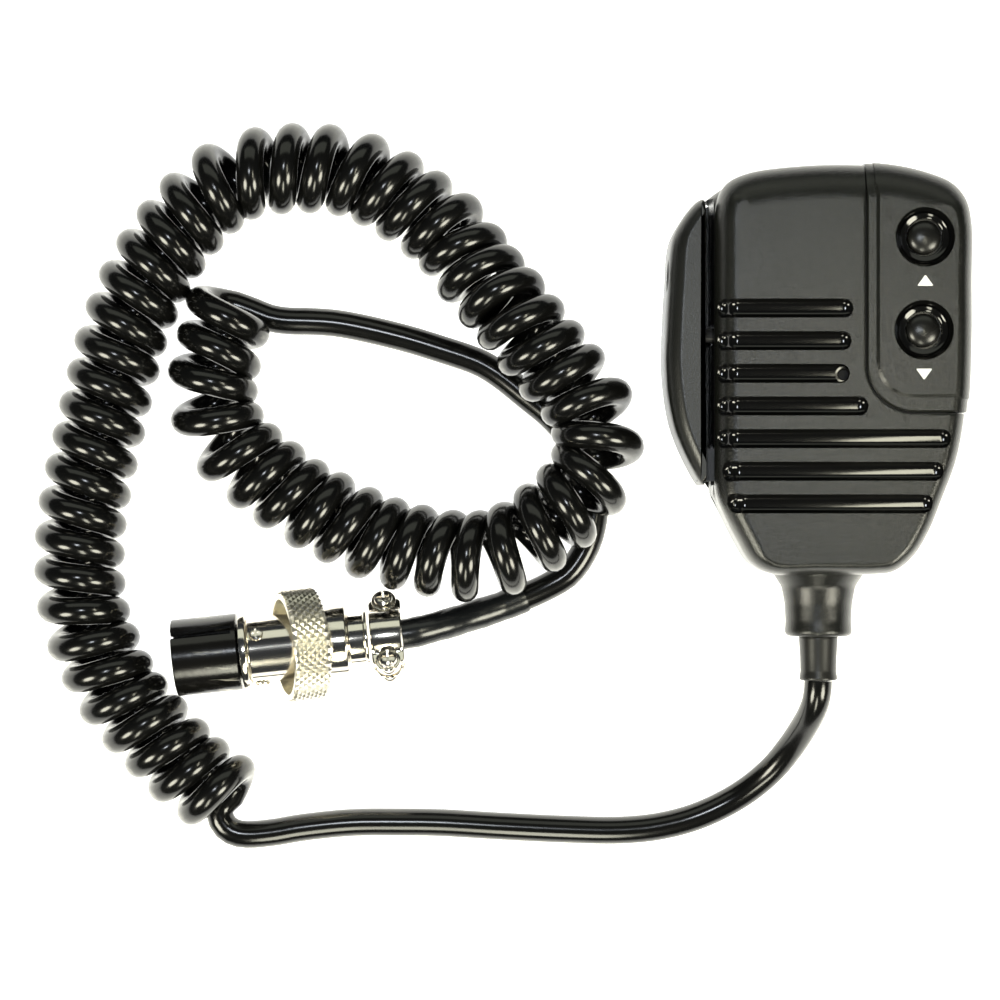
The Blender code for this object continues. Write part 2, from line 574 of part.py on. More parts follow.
def make_coupling_ring():
    centre = plug_point(RING_AT, 0, RING_LIFT)
    profile = ((9.0, 3.1), (9.4, 2.7), (9.4, -2.7), (9.0, -3.1), (8.2, -3.1), (8.2, 2.0), (7.0, 2.0),
               (7.0, 3.1))
    turned("coupling_ring", profile, "nickel", 40, axis_frame(centre, ring_axis()), closed=True)


def clamp_point(along, across, up):
    """A point of the cable clamp, which sits turned about the plug's axis."""
    angle = math.radians(CLAMP_TURN)
    return plug_point(along, across * math.cos(angle) + up * math.sin(angle),
                      up * math.cos(angle) - across * math.sin(angle))


def make_cable_clamp():
    """Two saddles drawn together by two screws."""
    for name, side in (("clamp_saddle_upper", 1), ("clamp_saddle_lower", -1)):
        outline = [(-4.6, 0.35 * side), (-7.4, 0.35 * side), (-7.4, 1.7 * side), (-4.4, 1.7 * side)]
        outer = [(4.6 * math.cos(math.radians(a)), 4.6 * side * math.sin(math.radians(a)))
                 for a in range(150, 29, -20)]
        mirrored = [(-x, z) for x, z in reversed(outline)]
        inner = [(2.95 * math.cos(math.radians(a)), 2.95 * side * math.sin(math.radians(a)))
                 for a in range(10, 171, 20)]
        section = [*outline, *outer, *mirrored, *inner]
        rings = [[tuple(clamp_point(t, *point)) for point in section] for t in (33.9, 39.4)]
        saddle = loft(name, rings, "nickel")
        for k, y in enumerate((-SADDLE_SCREW_SIDE, SADDLE_SCREW_SIDE)):
            hole = cylinder(f"{name}_hole_{k}", clamp_point(SADDLE_SCREWS_AT, y, -5),
                            clamp_point(SADDLE_SCREWS_AT, y, 5), 1.0, segments=12)
            cut(saddle, hole)
    for k, y in enumerate((SADDLE_SCREW_SIDE, -SADDLE_SCREW_SIDE)):
        cap_screw(f"saddle_screw_{k + 1}", clamp_point(SADDLE_SCREWS_AT, y, 3.2),
                  clamp_point(SADDLE_SCREWS_AT, y, -3.2), 1.5, 1.2, 0.7)


clear_scene()
PIECES = make_collection("hand_microphone")
CUTTERS = make_collection("cutters")
CUTTERS.hide_render = True
PALETTE = {name: make_material(name) for name in MATERIALS}
make_case()
make_talk_bar()
make_buttons()
make_inside()
make_hang_button()
make_cord_entry()
make_cord()
make_plug()
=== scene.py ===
"""Dresses a hand microphone's CAD frame: moulded case, buttons, curly cord and screw-ring plug."""

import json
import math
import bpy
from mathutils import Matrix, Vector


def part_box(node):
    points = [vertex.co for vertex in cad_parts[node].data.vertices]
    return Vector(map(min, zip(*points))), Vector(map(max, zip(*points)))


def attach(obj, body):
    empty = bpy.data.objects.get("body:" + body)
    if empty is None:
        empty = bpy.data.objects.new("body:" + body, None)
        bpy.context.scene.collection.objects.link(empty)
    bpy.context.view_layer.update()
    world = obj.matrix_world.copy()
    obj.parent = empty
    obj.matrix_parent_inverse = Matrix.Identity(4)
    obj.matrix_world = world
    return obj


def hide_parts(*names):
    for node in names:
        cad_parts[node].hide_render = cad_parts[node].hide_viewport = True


bl_info = {
    "name": "Hand Microphone Dresser",
    "version": (1, 0, 0),
    "blender": (4, 5, 0),
    "location": "3D View > Sidebar > Microphone",
    "description": "Builds the visible pieces of a hand microphone around its CAD frame",
    "category": "Add Mesh",
}

import bmesh
import bpy
from bpy.props import FloatProperty, FloatVectorProperty, IntProperty, PointerProperty
from bpy.types import Operator, Panel, PropertyGroup
from mathutils import Matrix, Vector

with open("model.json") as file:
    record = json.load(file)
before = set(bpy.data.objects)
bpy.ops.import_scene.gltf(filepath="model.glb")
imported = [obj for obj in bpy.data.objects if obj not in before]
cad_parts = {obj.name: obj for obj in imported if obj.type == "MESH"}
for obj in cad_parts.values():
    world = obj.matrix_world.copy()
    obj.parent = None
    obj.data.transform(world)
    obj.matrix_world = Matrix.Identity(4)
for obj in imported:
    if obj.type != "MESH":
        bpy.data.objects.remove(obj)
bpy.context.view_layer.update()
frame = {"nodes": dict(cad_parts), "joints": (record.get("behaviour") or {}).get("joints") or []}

# ---------------------------------------------------------------- places and outlines, in millimetres

BACK_Z, SEAM_Z, FACE_Z = 5.5, 15.85, 31.0
GAP = 0.3
WALL = 2.2
NECK_Z = 16.0
BAR_WALL_X = -18.3             # the wall behind the talk bar
POCKET_Y = (-22.2, 28.65)
POCKET_Z = 9.5
FACE_EDGE = {"left": 3.7, "right": 3.0, "top": 6.3, "bottom": 2.0}
FACE_EDGE_DEPTH = 4.7
GROOVE_TOP_Y = 9.85
GROOVE_LEFT_ANGLE = (22, 22, 22, 22, 22, 40, 40)
GROOVE_LEFT_SHIFT = (0, 0, 0, 0, 0, 0.35, 1.25)
GROOVE_RIGHT_X = (4.4, 4.1, 3.8, 6.9, 20.6, 19.4, 17.7)
SOUND_HOLE = (2.8, -1.1)
SEAM_LINE = (6.6, -7.35, 8.0)  # the panel's left side, its lower side and the radius between them
FIELD_LINE = (8.9, -4.2, 5.2)  # the same for its raised field
CORD_R = 2.4
HELIX_R = 5.5
HELIX_TURNS = 54

CASE_OUTLINE = (
    (4, 34.0), (12, 33.4), (18, 31.9), (21, 30.5), (23.1, 28), (24, 24), (24, 14.5), (24, 5),
    (23.5, -6), (22, -15), (19.5, -21.9), (17.3, -27.3), (14.8, -31.3), (11.6, -33.8),
    (8, -34.3), (-0.5, -34.3), (-9, -34.2), (-12.3, -32.4), (-14.7, -28.6), (-18.5, -21),
    (-21, -17), (-23, -12.5), (-24.4, -8), (-25.3, 0), (-25, 14), (-24.3, 21), (-22.8, 25),
    (-20.2, 28), (-16.5, 30.8), (-12.8, 32.6), (-5, 33.7),
)
FACE_OUTLINE = CASE_OUTLINE[:19] + (
    (-16.7, -24.6), (-17.9, -21.6), (-18.3, -19), (-18.3, -10), (-18.3, 5), (-18.3, 20),
    (-18.2, 26.5), (-17.6, 29), (-16.2, 31.0),
) + CASE_OUTLINE[-2:]
BAR_OUTLINE = (
    (-20.15, 28.45), (-19.75, 28.0), (-19.75, 4), (-19.75, -18.9), (-20.15, -19.55), (-20.7, -19),
    (-22.2, -16.4), (-24.1, -12.3), (-25.4, -8.3), (-26.5, 0), (-26.35, 8), (-26, 14),
    (-25.3, 21.8), (-23.8, 24.9), (-22.1, 27.2), (-20.9, 28.3),
)

MIC_LEAD = (
    (0, -52.6, 16), (-0.1, -54.4, 15.9), (-0.4, -56.4, 15.1), (-1, -58.4, 13.5), (-2, -60.8, 11.0),
    (-3.9, -64.4, 7.6), (-7.1, -68.8, 4.6), (-12.3, -73.2, 2.9), (-19.3, -76.8, 2.5), (-26.2, -78.7, 2.5),
    (-33.2, -79.4, 2.5), (-43.7, -79.2, 2.5), (-54.1, -78.7, 2.5), (-64.5, -78.1, 2.5),
    (-71.5, -78.0, 2.5), (-80.2, -78.1, 2.5), (-88.9, -79.0, 2.5), (-93.6, -79.8, 2.5),
    (-98.4, -80.15, 2.5), (-100.6, -79.7, 2.5), (-102.2, -78.4, 2.5), (-102.9, -76.6, 2.5),
    (-102.5, -74.9, 2.5),
)
COIL = (
    (-100.9, -73.4, 8), (-107.6, -68.5, 8), (-111.9, -64.1, 8), (-116.2, -59.5, 8),
    (-120, -54.7, 8), (-122.9, -49.1, 8), (-125.1, -44, 8), (-126.3, -38.5, 8),
    (-126.6, -32.6, 8), (-126.4, -27.1, 8), (-125.7, -21.6, 8), (-124.6, -16.2, 8),
    (-123.4, -11, 8), (-122.2, -5.5, 8), (-120.9, -0.2, 8), (-119.6, 5.2, 8), (-117.8, 10.3, 8),
    (-115.7, 15.2, 8), (-113.1, 19.8, 8), (-109.6, 24.7, 8), (-105.3, 29.5, 8),
    (-100.3, 33.3, 8), (-94.4, 34.8, 8), (-87.7, 35.3, 8), (-80, 34.5, 8), (-74.3, 32.1, 8),
    (-68.8, 28.6, 8), (-62.7, 23.8, 8.4), (-59.3, 19.1, 9.4), (-56.3, 15.2, 10.8),
    (-53.2, 11.7, 12.2), (-49.8, 7.4, 13.1), (-46.3, 3.1, 13.3), (-42.9, -0.9, 13.3),
    (-39.4, -5, 13.3), (-37.5, -10.2, 13.3), (-37.7, -15.3, 13.3), (-40.6, -20.5, 13.3),
    (-44.6, -24.5, 13.3), (-48.9, -27.9, 12.9), (-53.2, -30.5, 11.8), (-59.6, -31.6, 10.2),
    (-65.3, -30.9, 9.0), (-71.3, -29.7, 8.2), (-77.4, -27.6, 8), (-82.6, -25, 8),
    (-88.1, -22.2, 8), (-93, -18.7, 8), (-98, -14.7, 8), (-102, -9.9, 8), (-103.5, -5, 8),
    (-103.5, 0.2, 8), (-102.3, 4.8, 8), (-101.2, 9.3, 8), (-100.2, 12.1, 8),
)
PLUG_LEAD = (
    (-97.2, 11.0, 2.5), (-94.2, 9.8, 2.5), (-91.0, 9.3, 2.5), (-87, 9.2, 2.5), (-82, 8.8, 2.5),
    (-71.5, 6.5, 2.5), (-64.5, 4.4, 2.5), (-57.6, 2, 2.5), (-54.1, -0.1, 2.5), (-49.7, -3.6, 2.5),
    (-44.5, -8, 2.5), (-39.8, -14.1, 2.5), (-37.6, -21, 2.5), (-38.1, -27.1, 2.5),
    (-39.6, -31.1, 2.5), (-42.3, -34.8, 2.5), (-46.3, -37.2, 2.6), (-49.9, -38.82, 2.95),
    (-53.6, -40.3, 3.5), (-57.6, -41.6, 4.6), (-61.2, -42.7, 6.2), (-64.5, -43.6, 7.9),
    (-67.8, -44.45, 9.05),
)
SLEEVE_FROM = 17               # the point of the plug lead where the heat-shrink sleeve starts

PLUG_FRONT = (-110.0, -49.1, 9.4)
PLUG_ANGLE = 5.94              # degrees from +X, seen from above
KEY_SLOT_TURN = 40             # degrees about the plug's axis
CONTACT_CIRCLE_R = 3.6
CONTACTS = 6
INSERT_SCREWS_AT = 14.6        # along the plug from its front
CLAMP_AT = 36.6
CLAMP_TURN = 35                # degrees about the plug's axis
CLAMP_SCREW_SIDE = 6.1
CORD_ENTRY = 39.6              # where the cord goes into the clamp

TALK_PIVOT = (-15.5, -16.0)
VIEW_CENTRE = (-54.1, -21.9)


def box_mm(node):
    """A CAD node's lowest and highest corners."""
    low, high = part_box(node)
    return Vector(low) * 1000, Vector(high) * 1000


def centre_mm(node):
    """The middle of a CAD node's box."""
    low, high = box_mm(node)
    return (low + high) / 2


def joint(name):
    """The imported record's joint of that name."""
    return next(j for j in frame["joints"] if j["name"] == name)


# ---------------------------------------------------------------- geometry helpers


def mesh_object(name, points, faces):
    """A mesh object at the origin from points in millimetres, with outward normals."""
    mesh = bpy.data.meshes.new(name)
    mesh.from_pydata([Vector(p) * 0.001 for p in points], [], faces)
    shape = bmesh.new()
    shape.from_mesh(mesh)
    bmesh.ops.remove_doubles(shape, verts=shape.verts, dist=1e-7)
    bmesh.ops.recalc_face_normals(shape, faces=shape.faces)
    shape.to_mesh(mesh)
    shape.free()
    obj = bpy.data.objects.new(name, mesh)
    bpy.context.scene.collection.objects.link(obj)
    return obj


def loft(name, rings, face_index=0, closed=False):
    """A solid through rings of equal point counts, capped, or closed on itself."""
    count = len(rings[0])
    points = [p for ring in rings for p in ring]
    faces = []
    rows = len(rings) if closed else len(rings) - 1
    for r in range(rows):
        low, high = r * count, (r + 1) % len(rings) * count
        faces += [(low + i, low + (i + 1) % count, high + (i + 1) % count, high + i) for i in range(count)]
    if not closed:
        faces += [tuple(range(count)), tuple(range(len(points) - count, len(points)))]
    obj = mesh_object(name, points, faces)
    for polygon in obj.data.polygons:
        polygon.material_index = face_index
    return obj


def axis_matrix(origin, direction):
    """Local Z along direction, from origin, in millimetres."""
    turn = Vector(direction).to_track_quat("Z", "Y").to_matrix().to_4x4()
    return Matrix.Translation(Vector(origin)) @ turn


def turned(name, profile, matrix=None, segments=64, face_index=0):
    """A profile of (radius, height) turned about Z. A profile that starts and ends off the axis
    is closed on itself."""
    matrix = matrix or Matrix.Identity(4)
    open_profile = profile[0][0] == 0
    rings = []
    for radius, height in profile:
        ring = []
        for k in range(segments):
            angle = 2 * math.pi * k / segments
            ring.append(matrix @ Vector((radius * math.cos(angle), radius * math.sin(angle), height)))
        rings.append(ring)
    if not open_profile:
        return loft(name, rings, face_index, closed=True)
    points = [matrix @ Vector((0, 0, profile[0][1]))]
    points += [p for ring in rings[1:-1] for p in ring]
    points.append(matrix @ Vector((0, 0, profile[-1][1])))
    last = len(points) - 1
    faces = [(0, 1 + i, 1 + (i + 1) % segments) for i in range(segments)]
    for r in range(len(rings) - 3):
        low, high = 1 + r * segments, 1 + (r + 1) * segments
        faces += [(low + i, low + (i + 1) % segments, high + (i + 1) % segments, high + i)
                  for i in range(segments)]
    low = last - segments
    faces += [(last, low + (i + 1) % segments, low + i) for i in range(segments)]
    obj = mesh_object(name, points, faces)
    for polygon in obj.data.polygons:
        polygon.material_index = face_index
    return obj


def rounded(points, radius, steps=3, closed=False):
    """The same polyline with its corners rounded."""
    route = [Vector(p) for p in points]
    made = []
    for i, corner in enumerate(route):
        if not closed and i in (0, len(route) - 1):
            made.append(corner)
            continue
        before, after = route[i - 1], route[(i + 1) % len(route)]
        a, b = before - corner, after - corner
        if min(a.length, b.length) < 1e-4 or abs(a.angle(b) - math.pi) < 0.05:
            made.append(corner)
            continue
        first = corner + a.normalized() * min(radius, a.length * 0.4)
        last = corner + b.normalized() * min(radius, b.length * 0.4)
        for k in range(steps + 1):
            t = k / steps
            made.append(first * (1 - t) ** 2 + corner * 2 * t * (1 - t) + last * t * t)
    return [tuple(p) for p in made]


def smooth_path(points, steps, closed=False):
    """Centripetal Catmull-Rom points through the given ones."""
    route = [Vector(p) for p in points]
    if closed:
        ends = [route[-1], *route, route[0], route[1]]
    else:
        ends = [2 * route[0] - route[1], *route, 2 * route[-1] - route[-2]]
    made = []
    for a, b, c, d in zip(ends, ends[1:], ends[2:], ends[3:]):
        t1 = math.sqrt((b - a).length)
        t2 = t1 + math.sqrt((c - b).length)
        t3 = t2 + math.sqrt((d - c).length)
        for k in range(steps):
            t = t1 + (t2 - t1) * k / steps
            ab = a * ((t1 - t) / t1) + b * (t / t1)
            bc = b * ((t2 - t) / (t2 - t1)) + c * ((t - t1) / (t2 - t1))
            cd = c * ((t3 - t) / (t3 - t2)) + d * ((t - t2) / (t3 - t2))
            abc = ab * ((t2 - t) / t2) + bc * (t / t2)
            bcd = bc * ((t3 - t) / (t3 - t1)) + cd * ((t - t1) / (t3 - t1))
            made.append(abc * ((t2 - t) / (t2 - t1)) + bcd * ((t - t1) / (t2 - t1)))
    return made if closed else made + [route[-1]]


def even_path(points, spacing, closed=False):
    """The same line with its points an even distance apart."""
    line = list(points) + ([points[0]] if closed else [])
    lengths = [0.0]
    for a, b in zip(line, line[1:]):
        lengths.append(lengths[-1] + (b - a).length)
    count = max(2, round(lengths[-1] / spacing))
    made, at = [], 0
    for k in range(count if closed else count + 1):
        wanted = lengths[-1] * k / count
        while at < len(lengths) - 2 and lengths[at + 1] < wanted:
            at += 1
        share = (wanted - lengths[at]) / max(lengths[at + 1] - lengths[at], 1e-9)
        made.append(line[at].lerp(line[at + 1], min(share, 1)))
    return made


def even_outline(points, steps, spacing):
    """A smooth closed outline through the points, with its own points an even distance apart."""
    smooth = smooth_path([(*p, 0) for p in points], steps, True)
    return even_path([p.to_2d() for p in smooth], spacing, True)


def outward(outline):
    """Unit normals of a clockwise outline."""
    made = []
    for i, _ in enumerate(outline):
        along = (outline[(i + 1) % len(outline)] - outline[i - 1]).normalized()
        made.append(Vector((-along.y, along.x)))
    return made


def combine(obj, other, operation):
    """Joins, cuts or keeps what is common, and removes the other object."""
    step = obj.modifiers.new("Step", "BOOLEAN")
    step.operation = operation
    step.object = other
    step.solver = "EXACT"
    bake(obj)
    if not obj.data.polygons:
        raise RuntimeError(f"{operation} with {other.name} left nothing of {obj.name}")
    bpy.data.objects.remove(other, do_unlink=True)


def bake(obj):
    """Makes the evaluated mesh the object's own."""
    graph = bpy.context.evaluated_depsgraph_get()
    mesh = bpy.data.meshes.new_from_object(obj.evaluated_get(graph), depsgraph=graph)
    obj.modifiers.clear()
    obj.data = mesh


def shade(obj, angle=35, weighted=False):
    """Smooth shading with sharp edges past an angle."""
    obj.data.shade_smooth()
    obj.data.set_sharp_from_angle(angle=math.radians(angle))
    if weighted:
        step = obj.modifiers.new("Face normals", "WEIGHTED_NORMAL")
        step.keep_sharp = True
        step.weight = 90
        bake(obj)


def finish_piece(obj, body, materials, nodes=()):
    """Gives a piece its materials and its body, and hides the CAD nodes it stands for."""
    slots = obj.data.materials
    for k, material in enumerate(materials):
        if k < len(slots):
            slots[k] = material
        else:
            slots.append(material)
    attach(obj, body)
    if nodes:
        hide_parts(*nodes)
    return obj


# ---------------------------------------------------------------- the case's own surface


def face_ring(outline, normals, roll, z, grow=0.0):
    """A ring of the case: roll runs from 0 on its side to 1 where the face turns flat."""
    ring = []
    for point, normal in zip(outline, normals):
        left, right = max(-normal.x, 0) ** 2, max(normal.x, 0) ** 2
        top, bottom = max(normal.y, 0) ** 2, max(-normal.y, 0) ** 2
        inset = (left * FACE_EDGE["left"] + right * FACE_EDGE["right"]
                 + top * FACE_EDGE["top"] + bottom * FACE_EDGE["bottom"])
        moved = point - normal * (roll * inset - grow)
        ring.append((moved.x, moved.y, z))
    return ring


def face_solid(name, outline_points, low_z, grow=0.0, top_z=FACE_Z, steps=14):
    """The front part of the case, rounded into its face."""
    outline = even_outline(outline_points, 12, 0.7)
    normals = outward(outline)
    side_levels = (low_z, (low_z + top_z - FACE_EDGE_DEPTH) / 2)
    rings = [face_ring(outline, normals, 0, z, grow) for z in side_levels]
    for k in range(steps + 1):
        angle = math.pi / 2 * k / steps
        z = top_z - FACE_EDGE_DEPTH * (1 - math.sin(angle))
        rings.append(face_ring(outline, normals, 1 - math.cos(angle), z, grow))
    return loft(name, rings)


def corner_region(line, grow, low_z, high_z, flare=0.0, flare_z=None):
    """Everything right of and above a rounded corner line, with sides that lean out by flare."""
    left, low, radius = line

    def ring(z, spread):
        spread += grow
        bend = radius + spread
        points = [(60, low - spread, z), (60, 60, z), (left - spread, 60, z)]
        for k in range(13):
            angle = math.radians(180 + 7.5 * k)
            points.append((left - spread + bend * (1 + math.cos(angle)),
                           low - spread + bend * (1 + math.sin(angle)), z))
        return points

    if flare_z is None:
        return loft("region", [ring(low_z, 0), ring(high_z, 0)])
    return loft("region", [ring(low_z, 0), ring(flare_z, 0), ring(high_z, flare)])


def cavity_solid():
    """The hollow inside the case, clear of the wall behind the talk bar."""
    outline = even_outline(CASE_OUTLINE, 6, 2.0)
    normals = outward(outline)
    rings = []
    for z, inset in ((BACK_Z + WALL, 3.6), (11, WALL + 0.2), (26, WALL), (FACE_Z - WALL - 0.2, 6.0)):
        ring = []
        for point, normal in zip(outline, normals):
            moved = point - normal * inset
            ring.append((max(moved.x, BAR_WALL_X + WALL), moved.y, z))
        rings.append(ring)
    return loft("cavity", rings)


def block(low, high):
    """A plain cutter with corners at low and high."""
    x0, y0, z0 = low
    x1, y1, z1 = high
    rings = [[(x0, y0, z), (x1, y0, z), (x1, y1, z), (x0, y1, z)] for z in (z0, z1)]
    return loft("block", rings)


def ear_room(low_z):
    """The room for the talk bar's ear, which reaches through the case's wall to its pin."""
    return block((-20, -19.4, low_z), (-13.2, -12.6, 25.55))


def groove_cutter(k, settings):
    """A channel with soft lips that follows the face and rolls down its left edge."""
    y = GROOVE_TOP_Y - settings.groove_pitch * 1000 * k
    half, depth = settings.groove_width * 500, settings.groove_depth * 1000
    right = GROOVE_RIGHT_X[k]
    flat_left = BAR_WALL_X + FACE_EDGE["left"] + GROOVE_LEFT_SHIFT[k]
    stations = even_path([Vector((x, 0, FACE_Z)) for x in (right, flat_left)], 0.35)
    route = [(p, Vector((0, 0, 1))) for p in stations[:-1]]
    low_angle = GROOVE_LEFT_ANGLE[k]
    for angle in range(90, low_angle, -4):
        turn = math.radians(angle)
        at = Vector((flat_left - FACE_EDGE["left"] * math.cos(turn), 0,
                     FACE_Z - FACE_EDGE_DEPTH * (1 - math.sin(turn))))
        normal = Vector((-math.cos(turn) * FACE_EDGE_DEPTH, 0, math.sin(turn) * FACE_EDGE["left"]))
        route.append((at, normal.normalized()))
    lengths = [0.0]
    for (a, _), (b, _) in zip(route, route[1:]):
        lengths.append(lengths[-1] + (b - a).length)
    section = ((1.28, 0.5), (1.13, 0.12), (1.02, -0.06), (0.95, -0.22), (0.88, -0.5), (0.76, -0.78),
               (0.55, -0.95), (0.28, -1.0), (0, -1.0))
    section = [*section, *((-side, drop) for side, drop in reversed(section[:-1]))]
    rings = []
    for (at, normal), run in zip(route, lengths):
        end = min(run, lengths[-1] - run)
        width = math.sqrt(max(1 - (1 - min(end / half, 1)) ** 2, 0.002))
        ring = []
        for side, drop in section:
            lift = drop * depth * (width ** 0.8 if drop < 0 else 1) if drop < 0.3 else 1.4
            p = at + normal * lift
            ring.append((p.x, y + side * half * width, p.z))
        rings.append(ring)
    return loft("groove", rings, face_index=1)


# ---------------------------------------------------------------- materials


def add_input(tree, name, kind, value=None):
    """Adds a named input to a node group, with its default."""
    socket = tree.interface.new_socket(name, in_out="INPUT", socket_type=kind)
    if value is not None:
        socket.default_value = value


def grain_group():
    """Spark-eroded or moulded grain: a height and a small change of roughness."""
    name = "Moulded grain"
    if name in bpy.data.node_groups:
        return bpy.data.node_groups[name]
    tree = bpy.data.node_groups.new(name, "ShaderNodeTree")
    defaults = {"Grain Scale": 3000.0, "Cloud Scale": 60.0, "Roughness": 0.4, "Spread": 0.1}
    for label, value in defaults.items():
        add_input(tree, label, "NodeSocketFloat", value)
    tree.interface.new_socket("Height", in_out="OUTPUT", socket_type="NodeSocketFloat")
    tree.interface.new_socket("Roughness", in_out="OUTPUT", socket_type="NodeSocketFloat")
    nodes, links = tree.nodes, tree.links
    entry, leave = nodes.new("NodeGroupInput"), nodes.new("NodeGroupOutput")
    place = nodes.new("ShaderNodeTexCoord")
    fine, cloud = nodes.new("ShaderNodeTexNoise"), nodes.new("ShaderNodeTexNoise")
    fine.inputs["Detail"].default_value = 2
    cloud.inputs["Detail"].default_value = 3
    for noise, label in ((fine, "Grain Scale"), (cloud, "Cloud Scale")):
        links.new(place.outputs["Object"], noise.inputs["Vector"])
        links.new(entry.outputs[label], noise.inputs["Scale"])
    links.new(fine.outputs["Fac"], leave.inputs["Height"])
    offset, scaled, total = (nodes.new("ShaderNodeMath") for _ in range(3))
    offset.operation, scaled.operation, total.operation = "SUBTRACT", "MULTIPLY", "ADD"
    offset.inputs[1].default_value = 0.5
    links.new(cloud.outputs["Fac"], offset.inputs[0])
    links.new(offset.outputs[0], scaled.inputs[0])
    links.new(entry.outputs["Spread"], scaled.inputs[1])
    links.new(scaled.outputs[0], total.inputs[0])
    links.new(entry.outputs["Roughness"], total.inputs[1])
    links.new(total.outputs[0], leave.inputs["Roughness"])
    return tree


def wear_group():
    """Two base colours mixed by a cloud and fine scratches, for handled surfaces."""
    name = "Handling marks"
    if name in bpy.data.node_groups:
        return bpy.data.node_groups[name]
    tree = bpy.data.node_groups.new(name, "ShaderNodeTree")
    add_input(tree, "Clean", "NodeSocketColor", (0.02, 0.02, 0.02, 1))
    add_input(tree, "Worn", "NodeSocketColor", (0.1, 0.1, 0.1, 1))
    add_input(tree, "Scratch Scale", "NodeSocketFloat", 700.0)
    add_input(tree, "Amount", "NodeSocketFloat", 0.3)
    tree.interface.new_socket("Color", in_out="OUTPUT", socket_type="NodeSocketColor")
    tree.interface.new_socket("Mask", in_out="OUTPUT", socket_type="NodeSocketFloat")
    nodes, links = tree.nodes, tree.links
    entry, leave = nodes.new("NodeGroupInput"), nodes.new("NodeGroupOutput")
    place, stretch = nodes.new("ShaderNodeTexCoord"), nodes.new("ShaderNodeMapping")
    stretch.inputs["Scale"].default_value = (0.12, 1.0, 0.5)
    stretch.inputs["Rotation"].default_value = (0, 0, 0.35)
    scratch, cloud = nodes.new("ShaderNodeTexNoise"), nodes.new("ShaderNodeTexNoise")
    cloud.inputs["Scale"].default_value = 160
    scratch.inputs["Detail"].default_value = 4
    links.new(place.outputs["Object"], stretch.inputs["Vector"])
    links.new(stretch.outputs["Vector"], scratch.inputs["Vector"])
    links.new(place.outputs["Object"], cloud.inputs["Vector"])
    links.new(entry.outputs["Scratch Scale"], scratch.inputs["Scale"])
    edge = nodes.new("ShaderNodeMapRange")
    edge.inputs["From Min"].default_value = 0.62
    edge.inputs["From Max"].default_value = 0.72
    links.new(scratch.outputs["Fac"], edge.inputs["Value"])
    patch = nodes.new("ShaderNodeMapRange")
    patch.inputs["From Min"].default_value = 0.45
    patch.inputs["From Max"].default_value = 0.65
    links.new(cloud.outputs["Fac"], patch.inputs["Value"])
    both, amount = nodes.new("ShaderNodeMath"), nodes.new("ShaderNodeMath")
    both.operation = amount.operation = "MULTIPLY"
    links.new(edge.outputs["Result"], both.inputs[0])
    links.new(patch.outputs["Result"], both.inputs[1])
    links.new(both.outputs[0], amount.inputs[0])
    links.new(entry.outputs["Amount"], amount.inputs[1])
    mix = nodes.new("ShaderNodeMix")
    mix.data_type = "RGBA"
    links.new(amount.outputs[0], mix.inputs["Factor"])
    links.new(entry.outputs["Clean"], mix.inputs["A"])
    links.new(entry.outputs["Worn"], mix.inputs["B"])
    links.new(mix.outputs["Result"], leave.inputs["Color"])
    links.new(amount.outputs[0], leave.inputs["Mask"])
    return tree


def surface(name, colour, roughness, metallic=0.0, grain=3000.0, depth=0.00002, strength=0.3, spread=0.1,
            worn=None, wear=0.3, scratch=700.0, coat=0.0, ior=1.5):
    """A material: principled shader, moulded grain for bump and gloss, and handling marks."""
    if name in bpy.data.materials:
        return bpy.data.materials[name]
    material = bpy.data.materials.new(name)
    material.use_nodes = True
    nodes, links = material.node_tree.nodes, material.node_tree.links
    shader = nodes["Principled BSDF"]
    shader.inputs["Metallic"].default_value = metallic
    shader.inputs["Coat Weight"].default_value = coat
    shader.inputs["Coat Roughness"].default_value = 0.08
    shader.inputs["IOR"].default_value = ior
    grained = nodes.new("ShaderNodeGroup")
    grained.node_tree = grain_group()
    grained.inputs["Grain Scale"].default_value = grain
    grained.inputs["Roughness"].default_value = roughness
    grained.inputs["Spread"].default_value = spread
    links.new(grained.outputs["Roughness"], shader.inputs["Roughness"])
    bump = nodes.new("ShaderNodeBump")
    bump.inputs["Strength"].default_value = strength
    bump.inputs["Distance"].default_value = depth
    links.new(grained.outputs["Height"], bump.inputs["Height"])
    links.new(bump.outputs["Normal"], shader.inputs["Normal"])
    marks = nodes.new("ShaderNodeGroup")
    marks.node_tree = wear_group()
    marks.inputs["Clean"].default_value = (*colour, 1)
    marks.inputs["Worn"].default_value = (*(worn or tuple(1.6 * c for c in colour)), 1)
    marks.inputs["Amount"].default_value = wear
    marks.inputs["Scratch Scale"].default_value = scratch
    links.new(marks.outputs["Color"], shader.inputs["Base Color"])
    return material


def case_plastic():
    colour = tuple(bpy.context.scene.mic_case.plastic_colour)
    return surface("Case plastic", colour, 0.24, grain=4600, depth=0.00011, strength=0.5, spread=0.05,
                   wear=0.04)


def case_gloss():
    return surface("Polished groove plastic", (0.003, 0.003, 0.003), 0.09, grain=900, depth=0.00001,
                   strength=0.2, spread=0.04)


def button_plastic():
    return surface("Button plastic", (0.005, 0.005, 0.0045), 0.27, grain=1800, depth=0.00002,
                   strength=0.3)


def bar_plastic():
    return surface("Talk bar plastic", (0.006, 0.0065, 0.006), 0.32, grain=3000, depth=0.00005,
                   strength=0.5)


def insert_plastic():
    return surface("Insert bakelite", (0.004, 0.0038, 0.0035), 0.16, grain=700, depth=0.00003,
                   strength=0.4, worn=(0.5, 0.48, 0.42), wear=0.9, scratch=900)


def cord_vinyl():
    return surface("Cord vinyl", (0.003, 0.003, 0.0028), 0.17, grain=500, depth=0.00002, strength=0.15,
                   spread=0.08, wear=0.15)


